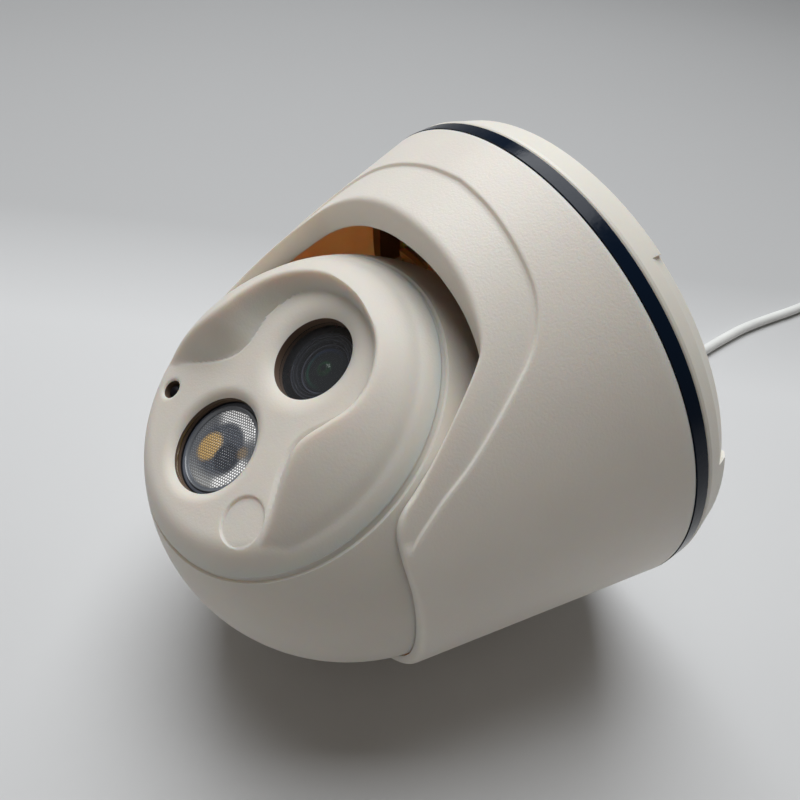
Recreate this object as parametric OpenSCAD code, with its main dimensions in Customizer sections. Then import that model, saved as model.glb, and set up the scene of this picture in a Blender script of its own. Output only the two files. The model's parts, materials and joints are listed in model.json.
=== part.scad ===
// Dome camera that pans and tilts by hand, lying on the side of its conical cover on a table.
// Every sub-part is drawn in the housing's own frame: z = 0 is the plane where the cover meets the
// trim ring, +z runs along the pan axis towards the ball, +x is the side of the cover's mouth.
// laid() then puts the housing down on the table, z = 0, with its mouth up and the cable to +X.

/* [Housing] */
// Radius of the housing at its widest, where cover and base meet
rim_r = 55; // [50:0.5:60]
// Slope of the cover's side, half the angle of its cone
cone_angle = 13; // [11:0.5:15]
// Height of the cover along the pan axis
cover_h = 52.5; // [50:0.5:55]
// Thickness of the moulded walls
wall = 2.2; // [1.8:0.1:2.6]
// Thickness of the base behind the trim ring
base_h = 7.3; // [7:0.1:9]
// Width of the trim ring
trim_h = 2.7; // [2:0.1:3]

/* [Mouth] */
// Height of the mouth's bottom edge
mouth_low = 21.3; // [20:0.1:24]
// Half width of the mouth at its bottom corners
mouth_half = 27; // [25:0.5:29]
// Radius of the mouth's curved bottom edge
mouth_curve = 85; // [70:1:120]
// Width of the recessed band around the mouth
band_w = 11; // [8:0.5:12]
// Depth of the lip that turns inward around the mouth
lip_depth = 6.2; // [5:0.2:8]

/* [Ball] */
// Radius of the ball
ball_r = 42.2; // [41:0.1:42.4]
// Height of the ball's centre, and of the tilt axis
ball_z = 41.2; // [40.5:0.1:43]
// Angle between the pan axis and the view as the camera lies
tilt_rest = 66; // [0:1:90]
// Height of the seam above the ball's centre
seam_z = 27.3; // [26:0.1:28]
// Height of the flat face around the lens and the lamp
face_z = 31.3; // [30.8:0.1:32]
// Turn of the front cover about its own axis
face_turn = -4; // [-6:0.5:6]

/* [Optics] */
// Distance of the lens from the face's centre
lens_x = 10.1; // [9.5:0.1:10.5]
// Radius of the lens hole
lens_hole_r = 8.3; // [7.8:0.1:8.5]
// Distance of the lamp from the face's centre
lamp_x = 13.8; // [13.5:0.1:14]
// Radius of the lamp hole
lamp_hole_r = 9.4; // [9:0.1:9.5]

/* [Mounting] */
// Diameter of the circle that the wall screws lie on
screw_pcd = 88; // [86:1:90]
// Radius of each screw hole
screw_hole_r = 2.25; // [1.8:0.05:2.4]
// Number of wall screws
screw_count = 3; // [3:1:4]

/* [Cable] */
// Diameter of the tail cable
cable_d = 3.8; // [3.4:0.1:4.2]

/* [Hidden] */
$fn = 96;

eps = 0.01;
far = 200;
running_gap = 0.05;
body_gap = 0.3;

// Housing stack along the pan axis
trim_z = -trim_h;
rear_z = -trim_h - base_h;
back_t = 2.5;
floor_z = rear_z + back_t;
track_z = floor_z + 1.9;
friction_t = 0.6;
turn_z = track_z + friction_t;
turn_t = 2;
hold_z = turn_z + turn_t + body_gap;
hold_t = 1.2;
base_wall = 2.8;
rear_r = rim_r - 1.6;
rear_chamfer = 1;
notch_mid = -55.5;
notch_span = 43;
notch_h = 3.4;
notch_depth = 1.6;
grommet_r = 5;
flange_r = 6.6;
flange_t = 1.2;

// Cone of the cover
cone_k = tan(cone_angle);
function cone_r(z) = rim_r - z * cone_k;
front_slope = 0.1;
cover_top = cover_h + front_slope * rim_r;
cover_gap = 0.25;
seat_r = ball_r + 0.55;

// Turntable and its fastenings
track_in = 31;
track_out = 39.5;
post_r = 3;
post_pcr = 27;
lug_pcr = 46;
lug_w = 9;
lug_r = 49.4;
yoke_screw_x = 5;
yoke_screw_y = 36;
stop_pcr = 42.6;
stop_r = 1.5;
band_depth = 0.5;

// Ball
shell_t = 2.2;
tilt_y = ball_r - 3.6;
dimple_r = 10.8;
arm_half_w = 6;
pivot_r = 2;
arm_t = 1.5;
arm_y = tilt_y + 0.7;
rear_hole_r = 16;
seam_r = sqrt(ball_r * ball_r - seam_z * seam_z);
shell_screw_pcr = 29;
screw_seat_z = 15;

// Face: the bell-shaped recess around lens and lamp
recess_r = 23.5;
face_t = 2;
sensor_x = -16.2;
sensor_y = 18.3;
sensor_hole_r = 1.9;
blank_r = 4.4;
plate_z = face_z - 0.8 - face_t;
window_t = 1;
gasket_t = 0.2;
window_z = plate_z - gasket_t - window_t;
barrel_top = window_z - 0.3;
frame_z = 10.5;
frame_t = 2;
frame_post_x = -1.5;
frame_post_y = 16;
board_size = 38;
board_z = 0.8;
board_t = 1.6;
post_x = 16;
holder_w = 15;
thread_r = 6;
lamp_seat_z = frame_z + frame_t;
sink_h = 4;
star_t = 1.6;

// Laying the housing down on its side
lift = rim_r * cos(cone_angle);
lie_low = -ball_z * cos(cone_angle) - ball_r;
lie_high = -rear_z * cos(cone_angle) + (rear_r - rear_chamfer) * sin(cone_angle);
lie_high_2 = -(rear_z + rear_chamfer) * cos(cone_angle) + rear_r * sin(cone_angle);
shift = -(lie_low + max(lie_high, lie_high_2)) / 2;

// Cables in the laid frame: the tail drops from the base's rear to the table and runs to the coil,
// and two short leads run from the splitter to their sockets
cable_r = cable_d / 2;
gland_l = 6;
exit_z = lift - (rear_z - gland_l) * sin(cone_angle);
exit_x = shift - (rear_z - gland_l) * cos(cone_angle);
TAIL_ROUTE = [
    [exit_x, 0, exit_z], [54, 0, 58.6], [62, 0.5, 58.6], [71, 1, 56.4], [80, 2, 51.5], [89, 3.5, 44],
    [98, 5, 35], [107, 7, 25.5], [117, 9.5, 16], [128, 12.5, 8], [141, 15.5, 3.4], [155, 17.5, 2],
    [170, 19, 1.9], [186, 20, 1.9], [202, 19.5, 1.9], [217, 18.5, 1.9], [232, 18.2, 1.9],
    [247, 18.6, 1.9], [254, 18.8, 1.9]
];
coil_x = 262;
coil_y = -4;
coil_mid_r = 21;
lead_r = 1.5;
split_x = 283;
split_z = 4.6;
split_l = 14;
split_end_y = -37;
END_ROUTE = [[split_x, -9, 5.3], [split_x, -16, 5.2], [split_x, split_end_y + split_l, split_z]];
VIDEO_ROUTE = [
    [281.2, split_end_y, split_z], [280, -45, 3], [277, -53, 1.7], [273, -61, 1.6], [270, -69, 2.8],
    [268.5, -77, 5.2]
];
POWER_ROUTE = [
    [284.8, split_end_y, split_z], [286, -45, 3], [289, -53, 1.7], [292, -61, 1.6], [293.5, -68, 2.8],
    [294, -75, 4.8]
];

module laid() {
    translate([shift, 0, lift]) rotate([0, -(90 + cone_angle), 0]) children();
}
module in_ball() {
    translate([0, 0, ball_z]) rotate([0, tilt_rest, 0]) children();
}
module in_face() {
    in_ball() rotate([0, 0, face_turn]) children();
}
module tube(r_out, r_in, h) {
    difference() {
        cylinder(r = r_out, h = h);
        translate([0, 0, -eps]) cylinder(r = r_in, h = h + 2 * eps);
    }
}
module around(count, radius, start = 0) {
    for (i = [0:count - 1]) rotate([0, 0, start + i * 360 / count]) translate([radius, 0, 0]) children();
}
module both_sides() {
    children();
    mirror([0, 1, 0]) children();
}
module pan_screw(head_r, head_h, shank_r, length) {
    difference() {
        union() {
            cylinder(r = head_r, h = head_h, $fn = 32);
            translate([0, 0, -length]) cylinder(r = shank_r, h = length + eps, $fn = 32);
        }
        for (a = [0, 90]) rotate([0, 0, a])
            translate([-head_r * 0.6, -0.35, head_h * 0.45]) cube([head_r * 1.2, 0.7, head_h]);
    }
}

// --- Base ---

module base_plate() {
    inner_r = rim_r - base_wall;
    color("ivory") laid() difference() {
        union() {
            rotate_extrude() polygon([
                [0, rear_z], [rear_r - rear_chamfer, rear_z], [rear_r, rear_z + rear_chamfer],
                [rim_r, trim_z - 1], [rim_r - 0.1, trim_z - 0.5], [rim_r - 0.3, trim_z - 0.2],
                [rim_r - 0.7, trim_z], [inner_r, trim_z], [inner_r, floor_z], [0, floor_z]
            ]);
            translate([0, 0, floor_z - eps]) tube(track_out, track_in, track_z - floor_z + eps);
            translate([0, 0, floor_z - eps]) around(3, post_pcr, 60)
                cylinder(r = post_r, h = hold_z - floor_z + eps, $fn = 48);
            rotate([0, 0, 225]) translate([stop_pcr, 0, floor_z - eps])
                cylinder(r = stop_r, h = track_z - floor_z, $fn = 32);
        }
        translate([0, 0, rear_z - eps]) cylinder(r = grommet_r, h = far);
        translate([0, 0, rear_z - eps]) cylinder(r = flange_r + 0.2, h = flange_t + eps);
        translate([0, 0, rear_z - eps]) around(screw_count, screw_pcd / 2)
            cylinder(r = screw_hole_r, h = back_t + 2 * eps, $fn = 48);
        translate([0, 0, floor_z + 0.6]) around(3, post_pcr, 60) cylinder(r = 1, h = far, $fn = 32);
        for (a = [notch_mid, notch_mid + 180]) rotate([0, 0, a - notch_span / 2])
            rotate_extrude(angle = notch_span) polygon([
                [rim_r + 2, rear_z + notch_h], [rim_r - 0.9, rear_z + notch_h],
                [rear_r - notch_depth, rear_z], [rear_r - notch_depth, rear_z - 1], [rim_r + 2, rear_z - 1]
            ]);
    }
}

module trim_ring() {
    lip_out = rim_r - base_wall - 0.2;
    color("midnightblue") laid() rotate_extrude() polygon([
        [rim_r, trim_z], [rim_r, 0], [lip_out - 0.2, 0], [lip_out - 0.2, 1.1], [lip_out - 1.6, 1.1],
        [lip_out - 1.6, trim_z - 1.8], [lip_out, trim_z - 1.8], [lip_out, trim_z]
    ]);
}
module friction_ring() {
    color("dimgray") laid() translate([0, 0, track_z])
        tube(track_out - 0.5, track_in + 1.5, friction_t - running_gap);
}
module pan_retainer() {
    color("silver") laid() translate([0, 0, hold_z]) difference() {
        tube(33, 23.5, hold_t);
        translate([0, 0, -eps]) around(3, post_pcr, 60) cylinder(r = 1.25, h = hold_t + 2 * eps, $fn = 32);
    }
}
module retainer_screws() {
    color("silver") laid() translate([0, 0, hold_z + hold_t]) around(3, post_pcr, 60)
        pan_screw(2.2, 1.4, 1, 4.5);
}
module cable_grommet() {
    color("gray") laid() translate([0, 0, rear_z]) difference() {
        rotate_extrude() polygon([
            [0, -gland_l], [2.7, -gland_l], [3.9, -0.5], [4.6, 0], [flange_r, 0], [flange_r, flange_t],
            [grommet_r, flange_t], [grommet_r, back_t], [6.2, back_t], [6.2, back_t + 1.2],
            [3.5, back_t + 1.6], [0, back_t + 1.6]
        ]);
        translate([0, 0, -far / 2]) cylinder(r = cable_r, h = far);
    }
}

// --- Turning cover ---

module turntable() {
    color("gainsboro") laid() difference() {
        union() {
            translate([0, 0, turn_z]) tube(track_out, track_in - 0.6, turn_t);
            for (a = [45:90:315]) rotate([0, 0, a]) translate([track_out - 2, -lug_w / 2, turn_z])
                intersection() {
                    cube([lug_r - track_out + 2, lug_w, turn_t]);
                    translate([2 - track_out, lug_w / 2, 0]) cylinder(r = lug_r, h = turn_t);
                }
            rotate([0, 0, 45]) translate([stop_pcr, 0, turn_z - 2]) cylinder(r = stop_r, h = 3, $fn = 32);
        }
        translate([0, 0, turn_z]) around(4, lug_pcr, 45) {
            translate([0, 0, -eps]) cylinder(r = 1.5, h = turn_t + 2 * eps, $fn = 32);
            translate([0, 0, -eps]) cylinder(r = 2.8, h = 1.1, $fn = 32);
        }
        both_sides() for (x = [-yoke_screw_x, yoke_screw_x]) translate([x, yoke_screw_y, turn_z - eps])
            cylinder(r = 1, h = turn_t + 2 * eps, $fn = 32);
    }
}

// The mouth as seen from its own side, [across, height], grown outward by grow
module mouth_outline(grow = 0) {
    half = mouth_half + grow * 0.62;
    low = mouth_low - grow;
    curve = mouth_curve + grow;
    knee = mouth_low + mouth_curve - sqrt(curve * curve - half * half);
    arc = asin(half / curve);
    steps = 16;
    polygon(concat(
        [for (i = [0:steps]) let (a = -arc + 2 * arc * i / steps)
            [curve * sin(a), low + curve * (1 - cos(a)) ]],
        [
            [half + 4, knee + 8], [half + 7, knee + 15.5], [half + 8.5, knee + 22],
            [half + 8.5, cover_top + 9], [-half - 8.5, cover_top + 9], [-half - 8.5, knee + 22],
            [-half - 7, knee + 15.5], [-half - 4, knee + 8]
        ]
    ));
}
module through_mouth(from_x) {
    translate([from_x, 0, 0]) rotate([90, 0, 90]) linear_extrude(far) children();
}
module cone_solid(inset, low, high) {
    translate([0, 0, low]) cylinder(r1 = cone_r(low) - inset, r2 = cone_r(high) - inset, h = high - low);
}
module cover() {
    inset = wall / cos(cone_angle);
    slope = atan(front_slope);
    color("linen") laid() difference() {
        union() {
            difference() {
                cone_solid(0, cover_gap, cover_top);
                cone_solid(inset, -1, cover_top + 1);
                through_mouth(0) mouth_outline();
                intersection() {
                    through_mouth(0) mouth_outline(band_w);
                    difference() {
                        cone_solid(-1, cover_gap - 1, cover_top + 1);
                        cone_solid(band_depth, cover_gap - 2, cover_top + 2);
                    }
                }
            }
            intersection() {
                through_mouth(12) difference() {
                    mouth_outline(1.8);
                    mouth_outline();
                }
                difference() {
                    cone_solid(band_depth + 0.2, mouth_low - 5, cover_top);
                    cone_solid(lip_depth, mouth_low - 6, cover_top + 1);
                }
            }
            for (a = [45:90:315]) rotate([0, 0, a]) intersection() {
                translate([lug_pcr, 0, turn_z + turn_t]) union() {
                    cylinder(r = 3.2, h = 20, $fn = 48);
                    translate([0, -1, 4]) cube([7, 2, 16]);
                }
                translate([0, 0, turn_z]) cylinder(r1 = rim_r - 4.4, r2 = cone_r(20) - 1, h = 24);
            }
        }
        translate([0, 0, ball_z]) sphere(r = seat_r, $fn = 160);
        translate([0, 0, turn_z]) around(4, lug_pcr, 45) cylinder(r = 1, h = 14, $fn = 32);
        rotate([0, slope, 0]) translate([-far / 2, -far / 2, cover_h]) cube([far, far, far]);
    }
}
module cover_screws() {
    color("silver") laid() translate([0, 0, turn_z]) around(4, lug_pcr, 45) mirror([0, 0, 1]) difference() {
        union() {
            translate([0, 0, -1.1]) cylinder(r1 = 1, r2 = 2.6, h = 1.1, $fn = 32);
            translate([0, 0, -10]) cylinder(r = 1, h = 9, $fn = 32);
        }
        for (a = [0, 90]) rotate([0, 0, a]) translate([-1.4, -0.3, -0.5]) cube([2.8, 0.6, 1]);
    }
}
module tilt_yoke() {
    foot_z = turn_z + turn_t;
    wall_y = 42.8;
    bend_z = ball_z - 10.6;
    bend_top = ball_z - 6.4;
    arm_top = ball_z + arm_half_w;
    color("silver") laid() both_sides() difference() {
        union() {
            intersection() {
                translate([-arm_half_w, 0, 0]) rotate([90, 0, 90]) linear_extrude(2 * arm_half_w) polygon([
                    [wall_y, foot_z], [wall_y + arm_t, foot_z], [wall_y + arm_t, bend_z],
                    [arm_y + arm_t, bend_top], [arm_y + arm_t, arm_top], [arm_y, arm_top],
                    [arm_y, bend_top - 0.6], [wall_y, bend_z - 0.6]
                ]);
                union() {
                    translate([-arm_half_w, 0, foot_z]) cube([2 * arm_half_w, far, ball_z - foot_z]);
                    translate([0, 0, ball_z]) rotate([-90, 0, 0]) cylinder(r = arm_half_w, h = far);
                }
            }
            translate([-8, 33.4, foot_z]) cube([16, wall_y + arm_t - 33.4, arm_t]);
        }
        translate([0, 30, ball_z]) rotate([-90, 0, 0]) cylinder(r = pivot_r + running_gap, h = 20);
        for (x = [-yoke_screw_x, yoke_screw_x]) translate([x, yoke_screw_y, foot_z - eps])
            cylinder(r = 1.3, h = arm_t + 2 * eps, $fn = 32);
    }
}
module yoke_screws() {
    color("silver") laid() both_sides() for (x = [-yoke_screw_x, yoke_screw_x])
        translate([x, yoke_screw_y, turn_z + turn_t + arm_t]) pan_screw(2, 1.3, 1, 3.3);
}

// --- Ball shells ---

module ball_rear_shell() {
    color("linen") in_laid_ball() difference() {
        union() {
            difference() {
                sphere(r = ball_r, $fn = 160);
                sphere(r = ball_r - shell_t, $fn = 160);
            }
            intersection() {
                sphere(r = ball_r - 0.5, $fn = 160);
                union() {
                    both_sides() translate([0, tilt_y - 2.2, 0]) rotate([-90, 0, 0])
                        cylinder(r = dimple_r + 2, h = 8);
                    both_sides() translate([0, 28, 0]) rotate([-90, 0, 0]) cylinder(r = 4.5, h = 11);
                    around(4, shell_screw_pcr, 45) translate([0, 0, screw_seat_z])
                        cylinder(r = 3, h = seam_z - screw_seat_z, $fn = 48);
                }
            }
        }
        translate([-far / 2, -far / 2, seam_z - 0.2]) cube([far, far, far]);
        translate([0, 0, seam_z - 1.1]) difference() {
            cylinder(r = 40, h = 2);
            cylinder(r1 = seam_r + 0.4, r2 = seam_r - 1.2, h = 2);
        }
        both_sides() translate([0, tilt_y, 0]) rotate([-90, 0, 0]) cylinder(r = dimple_r, h = 8);
        both_sides() translate([0, 27, 0]) rotate([-90, 0, 0]) cylinder(r = 1.5, h = 20, $fn = 48);
        translate([0, 0, -far]) cylinder(r = rear_hole_r, h = far);
        around(4, shell_screw_pcr, 45) translate([0, 0, 10]) cylinder(r = 1.2, h = far, $fn = 32);
    }
}
module in_laid_ball() {
    laid() in_ball() children();
}
module in_laid_face() {
    laid() in_face() children();
}

// Outline of the recess in the face: a bell with its foot at the lamp and its head at the lens
module bell_outline(inset) {
    head = 19 - inset;
    neck = 18.4 - inset;
    foot = 25 - inset;
    intersection() {
        circle(r = recess_r - inset * 0.2);
        union() {
            translate([lens_x - 2, 0]) circle(r = head);
            translate([-1, -neck]) square([lens_x, 2 * neck]);
            polygon([
                [3, -neck], [-1, -neck - 0.6], [-4, -neck - 2.4], [-9, -neck - 4.8], [-14, -foot],
                [-14, foot], [-9, neck + 4.8], [-4, neck + 2.4], [-1, neck + 0.6], [3, neck]
            ]);
        }
    }
    intersection() {
        circle(r = ball_r);
        polygon([
            [-4, -neck - 2.4], [-9, -neck - 4.8], [-14, -foot], [-40, -foot], [-40, foot],
            [-14, foot], [-9, neck + 4.8], [-4, neck + 2.4]
        ]);
    }
}
module ball_front_cover() {
    inner_r = ball_r - shell_t;
    color("linen") in_laid_face() difference() {
        union() {
            difference() {
                sphere(r = ball_r, $fn = 160);
                translate([0, 0, face_z - 0.8]) linear_extrude(far) bell_outline(0);
            }
            intersection() {
                sphere(r = ball_r - 0.02, $fn = 160);
                translate([0, 0, face_z - 2]) linear_extrude(2) bell_outline(5);
            }
        }
        translate([-far / 2, -far / 2, seam_z - far]) cube([far, far, far]);
        difference() {
            sphere(r = inner_r, $fn = 160);
            translate([0, 0, plate_z]) linear_extrude(far) bell_outline(-2);
            rotate([0, 0, -face_turn]) around(4, shell_screw_pcr - 1, 45) cylinder(r = 3, h = far, $fn = 48);
        }
        translate([lens_x, 0, 0]) cylinder(r = lens_hole_r, h = far);
        translate([-lamp_x, 0, 0]) cylinder(r = lamp_hole_r, h = far);
        translate([sensor_x, sensor_y, 0]) cylinder(r = sensor_hole_r, h = far, $fn = 48);
        translate([sensor_x + 0.9, -sensor_y, face_z - 0.4]) cylinder(r = blank_r, h = far);
        rotate([0, 0, -face_turn]) around(4, shell_screw_pcr, 45) cylinder(r = 1, h = seam_z + 2.4, $fn = 32);
        both_sides() translate([frame_post_x, frame_post_y, 0]) cylinder(r = 1, h = plate_z + 1.1, $fn = 32);
    }
}
module seam_gasket() {
    color("dimgray") in_laid_ball() translate([0, 0, seam_z - 0.2]) tube(seam_r - 1.4, seam_r - 2.2, 0.2);
}
module shell_screws() {
    color("silver") in_laid_ball() around(4, shell_screw_pcr, 45)
        translate([0, 0, screw_seat_z]) mirror([0, 0, 1]) pan_screw(2.3, 1.4, 1, seam_z - screw_seat_z + 1.8);
}
module tilt_screws() {
    color("silver") in_laid_ball() both_sides() translate([0, arm_y + arm_t + running_gap, 0])
        rotate([-90, 0, 0]) union() {
            pan_screw(3, 1.4, pivot_r, arm_t + 0.7 + running_gap);
            translate([0, 0, -9]) cylinder(r = 1.5, h = 8, $fn = 32);
        }
}
module tilt_washers() {
    color("dimgray") in_laid_ball() both_sides() translate([0, tilt_y, 0]) rotate([-90, 0, 0])
        tube(5, pivot_r, arm_y - tilt_y - running_gap);
}

// --- Inside the ball, drawn with +z along the view ---

module inner_frame() {
    color("dimgray") in_laid_face() difference() {
        union() {
            translate([-25, -19, frame_z]) cube([lens_x + post_x + 28, 38, frame_t]);
            both_sides() translate([frame_post_x, frame_post_y, frame_z])
                cylinder(r = 2.6, h = plate_z - frame_z, $fn = 48);
            for (x = [-post_x, post_x], y = [-post_x, post_x]) translate([lens_x + x, y, board_z + board_t])
                cylinder(r = 2.4, h = frame_z - board_z - board_t + eps, $fn = 48);
        }
        translate([lens_x - 8.5, -8.5, frame_z - 1]) cube([17, 17, frame_t + 2]);
        both_sides() translate([frame_post_x, frame_post_y, 0]) cylinder(r = 1.05, h = far, $fn = 32);
        for (x = [-post_x, post_x], y = [-post_x, post_x]) translate([lens_x + x, y, 0])
            cylinder(r = 0.9, h = frame_z - 2, $fn = 32);
    }
}
module frame_screws() {
    color("silver") in_laid_face() both_sides() translate([frame_post_x, frame_post_y, frame_z])
        mirror([0, 0, 1]) pan_screw(2, 1.3, 1, plate_z - frame_z + 1);
}
module lens_window() {
    color("lightcyan") in_laid_face() translate([lens_x, 0, window_z]) cylinder(r = 9.8, h = window_t);
}
module window_gasket() {
    color("dimgray") in_laid_face() translate([lens_x, 0, plate_z - gasket_t])
        tube(9.8, lens_hole_r, gasket_t);
}
module lens_barrel() {
    color("black") in_laid_face() translate([lens_x, 0, 0]) difference() {
        rotate_extrude() polygon([
            [0, 8], [thread_r, 8], [thread_r, 17], [7.2, 17], [7.2, barrel_top - 0.8],
            [6.8, barrel_top], [5.5, barrel_top], [5.1, barrel_top - 0.9], [0, barrel_top - 0.9]
        ]);
        translate([0, 0, barrel_top - 5]) cylinder(r = 5, h = 9);
        translate([0, 0, 7]) cylinder(r = 3, h = 20);
    }
}
module lens_elements() {
    color("darkslategray") in_laid_face() translate([lens_x, 0, 0]) {
        intersection() {
            translate([0, 0, barrel_top - 5]) cylinder(r = 4.95, h = 6);
            translate([0, 0, barrel_top - 11]) sphere(r = 10);
        }
        translate([0, 0, 9]) cylinder(r = 2.9, h = 3);
    }
}
module lens_holder() {
    color("black") in_laid_face() translate([lens_x, 0, board_z + board_t]) difference() {
        translate([-holder_w / 2, -holder_w / 2, 0]) cube([holder_w, holder_w, 11.6]);
        translate([0, 0, 4]) cylinder(r = thread_r + 0.02, h = 10);
        translate([-5, -5, -1]) cube([10, 10, 6]);
    }
}
module image_sensor() {
    color("darkgreen") in_laid_face() translate([lens_x - 4, -4, board_z + board_t]) cube([8, 8, 1]);
}
module camera_board() {
    color("green") in_laid_face() translate([lens_x, 0, board_z]) difference() {
        union() {
            translate([-board_size / 2, -board_size / 2, 0]) cube([board_size, board_size, board_t]);
            translate([4, 6, -1]) cube([6, 6, 1]);
            translate([-12, 5, -1.2]) cube([7, 7, 1.2]);
            translate([-10, -13, -3]) cube([12, 5, 3]);
        }
        for (x = [-post_x, post_x], y = [-post_x, post_x]) translate([x, y, -eps])
            cylinder(r = 1.1, h = far, $fn = 32);
    }
}
module board_screws() {
    color("silver") in_laid_face() for (x = [-post_x, post_x], y = [-post_x, post_x])
        translate([lens_x + x, y, board_z]) mirror([0, 0, 1]) pan_screw(1.9, 1.2, 0.9, 6.5);
}
module lamp_optic() {
    cup_z = lamp_seat_z + sink_h + star_t;
    color("lightcyan") in_laid_face() translate([-lamp_x, 0, 0]) difference() {
        rotate_extrude() polygon([
            [0, cup_z + 0.4], [4, cup_z + 0.4], [8.4, plate_z - 0.6], [9.2, plate_z - 0.6],
            [9.2, plate_z + 0.9], [0, plate_z + 0.9]
        ]);
        translate([0, 0, cup_z]) cylinder(r = 2.9, h = 4);
    }
}
module lamp_holder() {
    cup_z = lamp_seat_z + sink_h + star_t;
    color("black") in_laid_face() translate([-lamp_x, 0, 0]) rotate_extrude() polygon([
        [4.6, cup_z], [10.4, cup_z], [10.4, plate_z], [9.3, plate_z], [9.3, plate_z - 0.9],
        [8.6, plate_z - 0.9]
    ]);
}
module lamp_led() {
    color("gold") in_laid_face() translate([-lamp_x - 2, -2, lamp_seat_z + sink_h + star_t])
        cube([4, 4, 1.4]);
}
module lamp_board() {
    color("white") in_laid_face() translate([-lamp_x, 0, lamp_seat_z + sink_h])
        cylinder(r = 10, h = star_t);
}
module heat_sink() {
    color("silver") in_laid_face() translate([-lamp_x, 0, lamp_seat_z]) difference() {
        cylinder(r = 10, h = sink_h);
        for (y = [-8:4:8]) translate([-11, y - 0.8, -eps]) cube([22, 1.6, 2.4]);
    }
}
module light_sensor() {
    color("firebrick") in_laid_face() translate([sensor_x, sensor_y, 0]) {
        translate([0, 0, plate_z - 1.6]) cylinder(r = 1.7, h = 2.2, $fn = 48);
        translate([0, 0, plate_z + 0.6]) sphere(r = 1.6, $fn = 48);
        for (x = [-0.7, 0.7]) translate([x, 0, plate_z - 7]) cylinder(r = 0.25, h = 5.6, $fn = 16);
    }
}
module ball_loom() {
    color("dimgray") in_laid_face() translate([lens_x - 4, -10.5, 0]) {
        translate([-5, -2, board_z - 7]) cube([10, 4, 4]);
        translate([0, 0, board_z - 26]) cylinder(r = 2, h = 19.2, $fn = 32);
    }
}

// --- Cables, in the laid frame ---

function unit(v) = v / norm(v);
function tangent(path, i) = unit(path[min(i + 1, len(path) - 1)] - path[max(i - 1, 0)]);
module swept_tube(path, r) {
    sides = 8;
    last = len(path) - 1;
    points = [for (i = [0:last]) let (
            t = tangent(path, i),
            side = unit(cross([0, 0, 1], t)),
            up = cross(t, side)
        ) for (k = [0:sides - 1]) path[i] + r * (cos(360 * k / sides) * side + sin(360 * k / sides) * up)];
    walls = [for (i = [0:last - 1], k = [0:sides - 1]) let (next = (k + 1) % sides)
        [i * sides + k, (i + 1) * sides + k, (i + 1) * sides + next, i * sides + next]];
    start = [for (k = [0:sides - 1]) k];
    end = [for (k = [sides - 1:-1:0]) last * sides + k];
    polyhedron(points, concat([start], walls, [end]));
}
module base_loom() {
    color("gray") laid() translate([0, 0, rear_z - gland_l])
        cylinder(r = cable_r - 0.02, h = gland_l + back_t + 4);
}
module tail_cable() {
    color("lightgray") swept_tube(TAIL_ROUTE, cable_r);
}
module cable_coil() {
    inner = coil_mid_r - cable_d;
    outer = coil_mid_r + cable_d;
    color("lightgray") translate([coil_x, coil_y, 0]) rotate_extrude() polygon([
        [inner, 0.6], [inner + 0.6, 0], [outer - 0.6, 0], [outer, 0.6], [outer, 3],
        [outer - 1.9, 7.1], [inner + 1.9, 7.1], [inner, 3]
    ]);
}
module coil_tie() {
    color("black") translate([coil_x - coil_mid_r - cable_d - 0.8, coil_y - 2.5, 0]) difference() {
        cube([2 * cable_d + 1.6, 5, 7.9]);
        translate([0.8, -1, 0.5]) cube([2 * cable_d, 7, 6.6]);
    }
}
module coil_end() {
    color("lightgray") swept_tube(END_ROUTE, cable_r);
}
module cable_splitter() {
    color("darkgray") translate([split_x, split_end_y, split_z]) rotate([-90, 0, 0])
        rotate_extrude() polygon([[0, 0], [4, 0], [4.5, 1.2], [4.5, 6], [2.6, split_l], [0, split_l]]);
}
module video_tail() {
    color("black") swept_tube(VIDEO_ROUTE, lead_r);
}
module power_tail() {
    color("black") swept_tube(POWER_ROUTE, lead_r);
}
module video_socket() {
    color("silver") translate(VIDEO_ROUTE[len(VIDEO_ROUTE) - 1]) rotate([90, 0, 0]) difference() {
        union() {
            rotate_extrude() polygon([
                [0, 0], [2.4, 0], [4, 8], [4, 9], [5.2, 9], [5.2, 12], [4.3, 12], [4.3, 27], [0, 27]
            ]);
            translate([0, 0, 22]) rotate([90, 0, 0]) cylinder(r = 0.9, h = 10.4, center = true, $fn = 32);
        }
        translate([0, 0, 14]) tube(3.6, 1.2, 14);
    }
}
module power_socket() {
    color("black") translate(POWER_ROUTE[len(POWER_ROUTE) - 1]) rotate([90, 0, 0]) difference() {
        rotate_extrude() polygon([[0, 0], [2.2, 0], [3.6, 7], [4.8, 7.6], [4.8, 26], [0, 26]]);
        translate([0, 0, 16]) tube(2.75, 0.65, 11);
    }
}

base_plate();
trim_ring();
friction_ring();
pan_retainer();
retainer_screws();
cable_grommet();
turntable();
cover();
cover_screws();
tilt_yoke();
yoke_screws();
ball_rear_shell();
ball_front_cover();
seam_gasket();
shell_screws();
tilt_screws();
tilt_washers();
inner_frame();
frame_screws();
lens_window();
window_gasket();
lens_barrel();
lens_elements();
lens_holder();
image_sensor();
camera_board();
board_screws();
lamp_optic();
lamp_holder();
lamp_led();
lamp_board();
heat_sink();
light_sensor();
ball_loom();
base_loom();
tail_cable();
cable_coil();
coil_tie();
coil_end();
cable_splitter();
video_tail();
video_socket();
power_tail();
power_socket();
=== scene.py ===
"""A dome camera of the eyeball kind, lying on the side of its cover on a pale table."""

import json
import math

import bpy
import numpy as np
from mathutils import Matrix, Vector
from mathutils.geometry import delaunay_2d_cdt


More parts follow.
